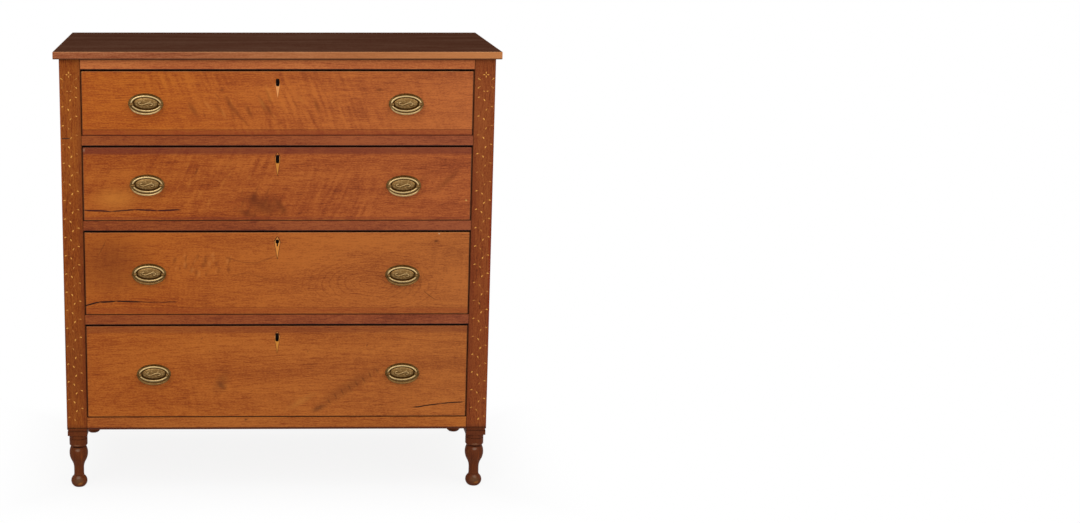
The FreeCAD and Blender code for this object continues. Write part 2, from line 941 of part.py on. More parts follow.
def keyhole(drawer):
    """What the key passes through: a round hole over a slot, wide where it is worn."""
    name = f"keyhole_{drawer}"
    middle = high_of(drawer) - SIZE.key_drop
    half_slot = getattr(SIZE, f"keyhole_{drawer}_half_slot")
    top = middle + SIZE.keyhole_radius
    slot_end = top - getattr(SIZE, f"keyhole_{drawer}_length") + half_slot
    through = (DRAWER_FACE, DRAWER_FRONT_BACK - SIZE.lock_depth + SIZE.lock_wall)
    return fused(
        name,
        rod(f"{name}_round", SIZE.keyhole_radius, 0, through, middle),
        rod(f"{name}_end", half_slot, 0, through, slot_end),
        board(f"{name}_slot", (-half_slot, half_slot), through, (slot_end, middle)),
    )


def lock_envelope():
    """The outside of a half-mortise lock: its top edge and its back plate at zero."""
    half = SIZE.lock_half_width
    wide = half + SIZE.lock_plate_margin
    back_wall = (-SIZE.lock_wall, 0)
    whole_depth = (-SIZE.lock_depth, 0)
    plate_low = -SIZE.lock_height - SIZE.lock_plate_margin
    return fused(
        "lock_envelope",
        board("lock_case", (-half, half), whole_depth, (-SIZE.lock_height, 0)),
        board("lock_plate", (-wide, wide), back_wall, (plate_low, 0)),
        board("lock_selvage", (-wide, wide), whole_depth, (-SIZE.lock_wall, 0)),
    )


def lock_body(envelope):
    """The lock without its bolt: hollow, with a slot for the bolt and a pin for the key."""
    wall = SIZE.lock_wall
    half = SIZE.lock_half_width - wall
    slot_half = SIZE.bolt_half_width + SIZE.bolt_gap
    slot_deep = SIZE.bolt_half_thickness + SIZE.bolt_gap
    middle = -SIZE.lock_depth / 2
    inside = (wall - SIZE.lock_depth, -wall)
    slot = (middle - slot_deep, middle + slot_deep)
    hollow = fused(
        "lock_hollow",
        board("lock_inside", (-half, half), inside, (wall - SIZE.lock_height, -wall)),
        board("lock_slot", (-slot_half, slot_half), slot, (-wall, 0)),
    )
    pin_ends = (-SIZE.key_pin_reach, -wall)
    pin = rod("lock_key_pin", SIZE.key_pin_radius, 0, pin_ends, -SIZE.key_drop)
    return fused("lock_body", cut("lock_shell", envelope, hollow), pin)


def lock_bolt():
    """The bolt of a lock, drawn down flush, with the foot that the key lifts."""
    half = SIZE.bolt_half_width
    foot_half = half + SIZE.bolt_foot
    middle = -SIZE.lock_depth / 2
    faces = (middle - SIZE.bolt_half_thickness, middle + SIZE.bolt_half_thickness)
    foot_heights = (-SIZE.bolt_foot_low, -SIZE.bolt_foot_top)
    return fused(
        "lock_bolt",
        board("lock_bolt_head", (-half, half), faces, (-SIZE.bolt_foot_top, 0)),
        board("lock_bolt_foot", (-foot_half, foot_half), faces, foot_heights),
    )


# ---------------------------------------------------------------- oval pulls

FACING = FreeCAD.Rotation(FreeCAD.Vector(1, 0, 0), 90)
BAIL_STEPS = 8


def oval(name, half_width, half_height):
    """An ellipse that stands facing the front."""
    ellipse = DOC.addObject("Part::Ellipse", name)
    bind(ellipse, "MajorRadius", half_width)
    bind(ellipse, "MinorRadius", half_height)
    ellipse.Placement = FreeCAD.Placement(FreeCAD.Vector(), FACING)
    return ellipse


def pull_plate():
    """A stamped oval plate about zero: a raised bead round a low dome."""
    sheet = DOC.addObject("Part::Extrusion", "plate_sheet")
    sheet.Base = oval("plate_oval", SIZE.plate_half_width, SIZE.plate_half_height)
    sheet.DirMode = "Custom"
    sheet.Dir = FreeCAD.Vector(0, -1, 0)
    sheet.Solid = True
    bind(sheet, "LengthFwd", SIZE.plate_thickness)
    section = DOC.addObject("Sketcher::SketchObject", "bead_section")
    inner = SIZE.bead_half_width - SIZE.bead_half_section
    outer = SIZE.bead_half_width + SIZE.bead_half_section
    sunk = -SIZE.plate_thickness / 2
    outline(section, [(inner, sunk), (outer, sunk, SIZE.bead_radius, LEFT)])
    bead = DOC.addObject("Part::Sweep", "plate_bead")
    bead.Sections = [section]
    bead.Spine = (oval("bead_oval", SIZE.bead_half_width, SIZE.bead_half_height), ["Edge1"])
    bead.Solid = True
    dome = DOC.addObject("Part::Ellipsoid", "plate_dome")
    bind(dome, "Radius1", SIZE.dome_rise)
    bind(dome, "Radius2", SIZE.dome_half_width)
    bind(dome, "Radius3", SIZE.dome_half_height)
    dome.Angle1 = 0
    dome.Placement = FreeCAD.Placement(FreeCAD.Vector(), FACING)
    put(dome, 0, -SIZE.plate_thickness, 0)
    return fused("pull_plate", sheet, bead, dome)


def pull_post(side_name):
    """A post of a pull: an eye for the bail, a collar, and a shank for the nut."""
    name = f"pull_post_{side_name}"
    side = SIDES[side_name]
    x = SIZE.boring_half * side
    z = -SIZE.axis_drop
    across = (x - SIZE.eye_half_thickness, x + SIZE.eye_half_thickness)
    axis_y = -SIZE.axis_reach
    collar = (-SIZE.plate_thickness - SIZE.collar_rod_height, -SIZE.plate_thickness)
    solid = fused(
        f"{name}_solid",
        rod(f"{name}_eye", SIZE.eye_radius, across, axis_y, z),
        rod(f"{name}_neck", SIZE.neck_rod_radius, x, (axis_y, 0), z),
        rod(f"{name}_collar", SIZE.collar_rod_radius, x, collar, z),
        rod(f"{name}_shank", SIZE.shank_radius, x, (0, SIZE.shank_length), z),
    )
    hole = rod(f"{name}_hole", SIZE.bail_pin_radius + SIZE.bail_pin_gap, across, axis_y, z)
    return cut(name, solid, hole)


def pull_nut(side_name, post):
    """The washer and hexagonal nut that hold a post, inside the drawer."""
    name = f"pull_nut_{side_name}"
    x = SIZE.boring_half * SIDES[side_name]
    z = -SIZE.axis_drop
    washer_end = SIZE.front_thickness + SIZE.washer_thickness
    washer = rod(f"{name}_washer", SIZE.washer_radius, x, (SIZE.front_thickness, washer_end), z)
    nut = DOC.addObject("Part::Prism", f"{name}_hexagon")
    nut.Polygon = 6
    bind(nut, "Circumradius", SIZE.nut_radius)
    bind(nut, "Height", SIZE.nut_thickness)
    nut.Placement = FreeCAD.Placement(FreeCAD.Vector(), FACING)
    put(nut, x, washer_end + SIZE.nut_thickness, z)
    return [cut(f"{name}_ring", washer, post), cut(name, nut, post)]


def bail():
    """A swelling half-oval handle that hangs from zero, with pins turned in to the posts."""
    sections = []
    for step in range(BAIL_STEPS + 1):
        angle = math.pi * step / BAIL_STEPS
        across = math.cos(angle)
        down = math.sin(angle)
        section = DOC.addObject("Part::Circle", f"bail_section_{step}")
        bind(section, "Radius", SIZE.bail_end_radius + SIZE.bail_swell * down)
        way = FreeCAD.Vector(
            -float(SIZE.bail_half_width) * down, 0, -float(SIZE.bail_drop) * across
        )
        turn = FreeCAD.Rotation(FreeCAD.Vector(0, 1, 0), FreeCAD.Vector(), way, "ZXY")
        section.Placement = FreeCAD.Placement(FreeCAD.Vector(), turn)
        sections.append(
            put(section, SIZE.bail_half_width * across, 0, -SIZE.bail_drop * down)
        )
    grip = DOC.addObject("Part::Loft", "bail_grip")
    grip.Sections = sections
    grip.Solid = True
    pieces = [grip]
    for side_name, side in SIDES.items():
        name = f"bail_{side_name}"
        end = SIZE.bail_half_width * side
        inner = (SIZE.boring_half - SIZE.eye_half_thickness - SIZE.bail_pin_proud) * side
        finial = end + SIZE.finial_offset * side
        pieces += [
            rod(f"{name}_pin", SIZE.bail_pin_radius, (inner, end), 0, 0),
            ball(f"{name}_elbow", SIZE.elbow_radius, end, 0, 0),
            ball(f"{name}_finial", SIZE.finial_radius, finial, 0, 0),
        ]
    return fused("bail", *pieces)


def pull_place(drawer, side_name):
    """Where the middle of a pull's plate is."""
    across = getattr(SIZE, f"pull_{drawer}_{side_name}_across") * SIDES[side_name]
    rise = getattr(SIZE, f"pull_{drawer}_{side_name}_rise")
    return across, DRAWER_FACE, floor_of(drawer) + rise


def shared_hardware():
    """One of each piece that every drawer has, made about zero."""
    posts = [pull_post(name) for name in SIDES]
    nuts = [nut for name, post in zip(SIDES, posts) for nut in pull_nut(name, post)]
    envelope = lock_envelope()
    return SimpleNamespace(
        plate=cut("pierced_plate", pull_plate(), *posts),
        posts=grouped("pull_posts", *posts, *nuts),
        bail=bail(),
        kite=kite(),
        envelope=envelope,
        lock=lock_body(envelope),
        bolt=lock_bolt(),
    )


def drawer_nodes(drawer, hardware):
    """Every piece of one drawer, each with its joints cut by the pieces that meet it."""
    name = f"drawer_{drawer}"
    bottom = drawer_bottom(drawer)
    blanks = grouped(f"{name}_side_blanks", *[drawer_side(drawer, side) for side in SIDES])
    back_faces = (DRAWER_END - SIZE.side_thickness, DRAWER_END)
    back_heights = (bottom_top_of(drawer), high_of(drawer) - SIZE.side_drop)
    back = board(f"{name}_back_blank", (-HALF_FRONT, HALF_FRONT), back_faces, back_heights)
    key_way = keyhole(drawer)
    lock_spot = (0, DRAWER_FRONT_BACK, high_of(drawer))
    kite_top = high_of(drawer) - getattr(SIZE, f"kite_{drawer}_drop")
    kite_here = copy_at(f"{name}_kite", hardware.kite, 0, DRAWER_FACE, kite_top)
    mortise = copy_at(f"{name}_lock_mortise", hardware.envelope, *lock_spot)
    plates = []
    posts = []
    bails = []
    for side in SIDES:
        x, y, z = pull_place(drawer, side)
        plates.append(copy_at(f"{name}_{side}_plate", hardware.plate, x, y, z))
        posts.append(copy_at(f"{name}_{side}_posts", hardware.posts, x, y, z))
        axis = (x, y - SIZE.axis_reach, z - SIZE.axis_drop)
        bails.append(copy_at(f"{name}_{side}_bail", hardware.bail, *axis))
    posts = grouped(f"{name}_pull_posts", *posts)
    joints = (blanks, bottom, mortise, key_way, kite_here, posts)
    lock = copy_at(f"{name}_lock_here", hardware.lock, *lock_spot)
    return [
        cut(f"{name}_front", drawer_front_blank(drawer), *joints),
        cut(f"{name}_sides", blanks, bottom),
        cut(f"{name}_back", back, blanks),
        bottom,
        cut(f"{name}_escutcheon", kite_here, key_way),
        cut(f"{name}_lock", lock, key_way),
        copy_at(f"{name}_lock_bolt", hardware.bolt, *lock_spot),
        grouped(f"{name}_pull_plates", *plates),
        posts,
        *bails,
    ]


# ---------------------------------------------------------------- whole chest


def case_nodes():
    """Every piece of the case, each with its joints cut by the pieces that meet it."""
    panels = {name: side_panel(f"{name}_side_panel", side) for name, side in SIDES.items()}
    top_rail = front_rail("top_rail_blank", ceiling_of(1), TOP_LOW)
    dividers = [
        front_rail(f"divider_{n}_blank", ceiling_of(n + 1), floor_of(n)) for n in DRAWERS[:-1]
    ]
    bottom_rail = front_rail("bottom_rail_blank", SIZE.case_floor, floor_of(4))
    rear_rails = [
        rear_rail("rear_rail_top", ceiling_of(1), TOP_LOW),
        rear_rail("rear_rail_bottom", SIZE.case_floor, floor_of(4)),
    ]
    boards = [back_board(number) for number in range(BACK_BOARDS)]
    fasteners = case_fasteners()
    vines = {"right": vine_of_right_post()}
    vines["left"] = mirrored("vine_left", vines["right"])
    line_low = SIZE.scribed_line_height - SIZE.scribed_line / 2
    line = board(
        "scribed_line",
        (-HALF_CASE, HALF_CASE),
        (FRONT, FRONT + SIZE.scribed_line),
        (line_low, line_low + SIZE.scribed_line),
    )
    nodes = [cut("top_board", top_board(), fasteners)]
    for name, side in SIDES.items():
        jointed = cut(
            f"{name}_front_post_jointed",
            post_blank(f"{name}_front", side, FRONT),
            panels[name],
            top_rail,
            *dividers,
            bottom_rail,
            line,
        )
        nodes.append(cut(f"{name}_front_post", jointed, vines[name]))
        nodes.append(
            cut(
                f"{name}_rear_post",
                post_blank(f"{name}_rear", side, POST_BACK),
                panels[name],
                *rear_rails,
                *boards,
                fasteners,
            )
        )
        nodes.append(panels[name])
    nodes.append(cut("top_rail", top_rail, lock_mortise(1), fasteners))
    nodes.append(
        grouped(
            "divider_rails",
            *[cut(f"divider_{n}", dividers[n - 1], lock_mortise(n + 1)) for n in DRAWERS[:-1]],
        )
    )
    nodes.append(cut("bottom_rail", bottom_rail, line))
    nodes.append(cut("rear_rails", grouped("rear_rail_blanks", *rear_rails), fasteners))
    nodes.append(cut("back_boards", grouped("back_board_blanks", *boards), fasteners))
    runners = []
    for drawer in DRAWERS:
        for name in SIDES:
            runners += runner_and_guide(drawer, name)
    nodes.append(grouped("runners_and_guides", *runners))
    nodes.append(grouped("top_kickers", *[top_kicker(name) for name in SIDES]))
    nodes += [grouped("vine_inlay", *vines.values()), fasteners]
    return nodes


def export(nodes):
    """Checks every object of the document, then writes each node to its own file."""
    DOC.recompute()
    for thing in DOC.Objects:
        if "Invalid" in thing.State or "Error" in thing.State:
            raise RuntimeError(f"{thing.Label} is {thing.State}")
    for node in nodes:
        if node.Shape.isNull() or not node.Shape.isValid() or not node.Shape.Solids:
            raise RuntimeError(f"{node.Label} has no valid shape")
    os.makedirs("parts", exist_ok=True)
    for node in nodes:
        node.Shape.exportStep(f"parts/{node.Label}.step")
        print(node.Label, len(node.Shape.Solids), "solids", round(node.Shape.Volume), "mm3")


def main():
    """Makes the case and the four drawers, then writes them out."""
    nodes = case_nodes()
    hardware = shared_hardware()
    for drawer in DRAWERS:
        nodes += drawer_nodes(drawer, hardware)
    export(nodes)


main()
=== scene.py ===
"""Dresses a chest of four drawers: waxed cherry, pine inside, brass pulls and light inlay."""

import json
import logging
import math
from dataclasses import dataclass, replace
from enum import Enum

import bpy
import numpy as np
from mathutils import Euler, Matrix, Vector


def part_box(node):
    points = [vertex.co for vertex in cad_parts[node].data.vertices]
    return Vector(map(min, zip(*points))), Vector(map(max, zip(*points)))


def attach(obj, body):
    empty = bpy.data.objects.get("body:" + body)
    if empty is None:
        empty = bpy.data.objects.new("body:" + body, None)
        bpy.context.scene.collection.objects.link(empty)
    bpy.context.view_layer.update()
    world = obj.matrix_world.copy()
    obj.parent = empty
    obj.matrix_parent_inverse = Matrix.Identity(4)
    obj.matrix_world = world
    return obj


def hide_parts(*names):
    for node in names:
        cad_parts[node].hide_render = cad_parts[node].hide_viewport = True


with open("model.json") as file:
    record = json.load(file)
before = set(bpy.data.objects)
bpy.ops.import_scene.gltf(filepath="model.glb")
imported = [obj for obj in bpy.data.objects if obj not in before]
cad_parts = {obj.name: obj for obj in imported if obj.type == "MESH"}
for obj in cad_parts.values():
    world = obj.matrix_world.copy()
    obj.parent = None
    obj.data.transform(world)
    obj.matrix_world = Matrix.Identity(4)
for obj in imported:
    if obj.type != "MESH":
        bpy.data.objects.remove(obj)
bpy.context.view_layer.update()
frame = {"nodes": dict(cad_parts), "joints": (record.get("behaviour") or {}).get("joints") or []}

log = logging.getLogger("chest")

MM = 0.001
SIDES = ("left", "right")
WAVE_UNIT = math.tau / 20  # the Wave texture's scale at which one ring is one unit wide
GOLDEN_ANGLE = 2.4  # radians

Tree = bpy.types.NodeTree
Node = bpy.types.Node
Socket = bpy.types.NodeSocket
Source = Node | Socket  # what an input can be linked to
Box = tuple[Vector, Vector]  # a piece's lowest and highest corner, in metres


def linear(hex_colour: str) -> tuple[float, float, float, float]:
    """Turns an sRGB hex colour into the linear colour that a socket takes.

    Args:
        hex_colour: Six hex digits after a hash sign.

    Returns:
        Red, green, blue and alpha.
    """
    channels = [int(hex_colour[i : i + 2], 16) / 255 for i in (1, 3, 5)]
    bent = [c / 12.92 if c <= 0.04045 else ((c + 0.055) / 1.055) ** 2.4 for c in channels]
    return (*bent, 1.0)


def add(tree: Tree, kind: str, inputs: dict[str | int, object] | None = None, **settings: str) -> Node:
    """Adds a shader node with its settings, input values and links.

    Args:
        tree: The node tree that gets the node.
        kind: The node's type, without the word ShaderNode.
        inputs: For an input's name or number, a value, the socket that it is linked to, or the
            node whose first output in use it is linked to.
        **settings: Properties of the node, set before its inputs.

    Returns:
        The new node.
    """
    node = tree.nodes.new(f"ShaderNode{kind}")
    for name, value in settings.items():
        setattr(node, name, value)
    for key, value in (inputs or {}).items():
        if isinstance(value, Node):
            value = next(output for output in value.outputs if output.enabled)
        if isinstance(value, Socket):
            tree.links.new(value, node.inputs[key])
        else:
            node.inputs[key].default_value = value
    return node


def blank_material(name: str) -> bpy.types.Material:
    """Makes a material with an empty node tree.

    Args:
        name: The material's name.

    Returns:
        The material.
    """
    material = bpy.data.materials.new(name)
    material.use_nodes = True
    material.node_tree.nodes.clear()
    return material


@dataclass(frozen=True)
class Finish:
    """What a piece's surface is made of, how it was worked and how age has changed it."""

    name: str

    def shader(self, tree: Tree, box: Box | None) -> Node:
        """Builds the surface, which each kind of finish does in its own way.

        Args:
            tree: The material's node tree.
            box: The box of the piece, for what follows its edges and its face.

        Returns:
            The shader.
        """
        raise NotImplementedError

    def material(self, box: Box | None = None) -> bpy.types.Material:
        """Makes the finish's material.

        Args:
            box: The box of the piece that wears it.

        Returns:
            The material.
        """
        made = blank_material(self.name)
        add(made.node_tree, "OutputMaterial", {"Surface": self.shader(made.node_tree, box)})
        return made


def wear(node: str, finish: Finish) -> None:
    """Gives a CAD node a finish, whose material is made for the first node that wears it.

    Args:
        node: The node's name.
        finish: Its finish.
    """
    material = bpy.data.materials.get(finish.name) or finish.material(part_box(node))
    slots = frame["nodes"][node].data.materials
    slots.clear()
    slots.append(material)
    log.info("%s: %s", node, finish.name)


# ---------------------------------------------------------------- marks in wood

MARK_DEPTH = 20  # how far a mark reaches in from the face, in mm
ENDLESS = 5000  # half the length of a line that runs past every board's ends, in mm
HALF_WAY_UP = 600  # the chest's middle above the floor, in mm
LINE_CORE = 0.4  # the share of a line's width that has its full strength
EDGE_WAVES = ((33.3, 6), (4.55, 5))  # size and reach in mm, of wavering and then ragged edges


class Edge(Enum):
    """How far a mark's outline strays from its ellipse."""

    STRAIGHT = 0
    WAVERING = 1
    RAGGED = 2


@dataclass(frozen=True)
class Mark:
    """A blemish in a board's face: an ellipse about x, z that fades towards its rim, in mm."""

    x: float
    z: float
    half_length: float
    half_width: float
    lean: float = 0.0  # degrees
    tint: str = "#2A1208"
    strength: float = 0.7
    core: float = 0.0  # the share of the ellipse that has the full strength
    edge: Edge = Edge.RAGGED

    def paint(self, tree: Tree, face_y: float, colour: Source, place: Source) -> Node:
        """Lays the mark over a colour.

        Args:
            tree: The board's node tree.
            face_y: Where the board's face is, in metres.
            colour: The colour so far.
            place: Points of the board, in metres.

        Returns:
            The colour with the mark on it.
        """
        ellipse = {
            "Location": (self.x * MM, face_y, self.z * MM),
            "Rotation": (0, -math.radians(self.lean), 0),
            "Scale": (self.half_length * MM, MARK_DEPTH * MM, self.half_width * MM),
        }
        local = add(tree, "Mapping", {"Vector": place, **ellipse}, vector_type="TEXTURE")
        if self.edge is Edge.WAVERING:  # squared, so that a crack's stretches meet at full width
            local = add(tree, "VectorMath", {0: local, 1: local}, operation="MULTIPLY")
        reach = add(tree, "VectorMath", {0: local}, operation="LENGTH")
        fading = {"Value": reach, "From Min": 1, "From Max": self.core, "To Max": self.strength}
        cover = add(tree, "MapRange", fading, interpolation_type="SMOOTHSTEP")
        return add(tree, "Mix", {0: cover, 6: colour, 7: linear(self.tint)}, data_type="RGBA")


def level_line(z: float, half_width: float, tint: str, strength: float) -> Mark:
    """Makes a line that runs level all the way across a board, in mm."""
    return Mark(0, z, ENDLESS, half_width, 0, tint, strength, LINE_CORE, Edge.STRAIGHT)


def upright_line(x: float, half_width: float, tint: str, strength: float) -> Mark:
    """Makes a line that runs from the bottom of a board to its top, in mm."""
    return Mark(x, HALF_WAY_UP, ENDLESS, half_width, 90, tint, strength, LINE_CORE, Edge.STRAIGHT)


def keyhole(z: float, half_length: float) -> Mark:
    """Makes the darkness inside an upright keyhole, in mm."""
    return Mark(0, z, half_length, 5.5, 90, "#080402", 1, 0.8, Edge.STRAIGHT)


def crack(points: tuple[tuple[float, float], ...], half_width: float, **looks: str | float) -> list[Mark]:
    """Makes a crack of thin marks that join a line of points.

    Args:
        points: The places that the crack runs through, x and z in mm.
        half_width: Half its width in mm.
        **looks: The marks' other fields.

    Returns:
        One mark for each stretch, long enough to overlap the next.
    """
    marks = []
    for (x0, z0), (x1, z1) in zip(points, points[1:]):
        half_length = 0.56 * math.hypot(x1 - x0, z1 - z0) + 2
        lean = math.degrees(math.atan2(z1 - z0, x1 - x0))
        middle = ((x0 + x1) / 2, (z0 + z1) / 2)
        marks.append(
            Mark(*middle, half_length, half_width, lean, core=LINE_CORE, edge=Edge.WAVERING, **looks)
        )
    return marks


def scattered(mark: Mark, half_wide: float, half_high: float, count: int) -> list[Mark]:
    """Scatters marks over a patch of a board, evenly but of uneven size, lean and strength.

    Args:
        mark: The largest of them, at the patch's middle.
        half_wide: Half the patch's width in mm.
        half_high: Half its height in mm.
        count: How many marks there are.

    Returns:
        The marks.
    """
    marks = []
    for i in range(count):
        radius = math.sqrt((i + 0.5) / count)
        size = 0.6 + 0.4 * math.cos(1.7 * i)
        place = {
            "x": mark.x + half_wide * radius * math.cos(GOLDEN_ANGLE * i),
            "z": mark.z + half_high * radius * math.sin(GOLDEN_ANGLE * i),
            "lean": mark.lean + 9 * math.sin(5.1 * i),
        }
        sizes = {"half_length": mark.half_length * size, "half_width": mark.half_width * size}
        marks.append(replace(mark, **place, **sizes, strength=mark.strength * (0.5 + size / 2)))
    return marks


def foot_wear_and_painted_light(x: float) -> tuple[Mark, ...]:
    """Makes a foot's marks about x, in mm: pale wear where shoes and brooms have rubbed it, painted
    highlights on the collar, vase and ball, and painted shade down one side of the vase.
    """
    return (
        Mark(x, 112, 14, 1.6, 0, "#9A7A5E", 0.6),
        Mark(x, 99, 9, 5, 0, "#A88C78", 0.55),
        Mark(x, 18, 26, 16, 0, "#6A5036", 0.75),
        Mark(x, 26, 10, 5, 0, "#A8907C", 0.7),
        Mark(x + 5, 11, 12, 5, 15, "#B8722E", 0.7),
        Mark(x + 8, 72, 30, 2.4, 86, "#9A4C20", 0.6),
        Mark(x - 8, 72, 30, 3, 94, "#3A1810", 0.5),
        Mark(x - 16, 92, 16, 4, 84, "#7A4A20", 0.5),
    )


# ---------------------------------------------------------------- wood


@dataclass(frozen=True)
class Pattern:
    """Noise in wood: its size across and along the grain in mm, and its finer octaves."""

    across: float
    along: float
    octaves: float


DRIFT = Pattern(60, 360, 4)
FIBRE = Pattern(2, 28, 3)  # real fibres are a tenth as wide, too fine to show
FLECK = Pattern(2.1, 5.25, 2)
PORE = Pattern(1.5, 33, 1)  # real pores are about 0.1 mm wide, too fine to show
SWAY = Pattern(55, 300, 2)  # the fibres wander by as much as a board's wander says
PEAKS = {"From Min": 0.57, "From Max": 0.72, "To Min": 1, "To Max": 0}  # only these are pores
LATE_WOOD = {"From Min": 0.7}  # the share of a ring that comes before it
RINGS_FADE_FROM = 0.6  # as a share of the ring count
CURLY_PATCHES = {"From Min": 0.4, "From Max": 0.62}  # from plain wood to full curl
GRAIN_STOPS = (0.12, 0.5, 0.88)  # the tones that are all deep, all body and all pale
ROUGHER = 0.06  # how much rougher the deepest wood is than a middling tone
PLANK_STEP = (0.83, 0, 0.371)  # how far apart in the log two planks were cut, in metres
FACING_UP = {"From Min": 0.6, "From Max": 0.95}  # the height of a face's normal, slanting to level
LIT_TO_THE_RIGHT = {"From Min": -0.3, "From Max": 0.5}  # painted light and reflection, stronger towards the right, in metres
FOOT_TOP = {"From Min": 0.168, "From Max": 0.152}  # a post turns dark here, in metres
ARRIS_WEAR_AND_HIGHLIGHT = {"From Min": 2.2 * MM, "From Max": 0.4 * MM}  # how far the pale edge, worn and with a painted highlight, reaches from an edge
ARRIS_PATCH = 45.5  # the length of its patches in mm
TONE_DEPTH = 0.4  # how deep the grain's relief is in mm, at full strength
WAXED_INLAY = {"Roughness": 0.5, "Specular IOR Level": 0.1}  # rubbed dull by old wax
HOLE_SHADE = {"From Min": 1.15, "From Max": 0.9}  # from clean wood to the painted shade of the keyhole, in sizes of the hole
GOLDEN_LEAVES = {"From Min": 0.38, "From Max": 0.55}  # from all dull to all golden


class Blend(Enum):
    """How a layer of age or painted light lies on the wood, by the Mix node's name for it."""

    COVER = "MIX"
    TINT = "COLOR"  # keeps the grain's contrast
    DARKEN = "MULTIPLY"  # darkens, and the grain still shows


class Grain(Enum):
    """The direction that a board's fibres run in."""

    ALONG_X = 0
    ALONG_Y = 1
    ALONG_Z = 2


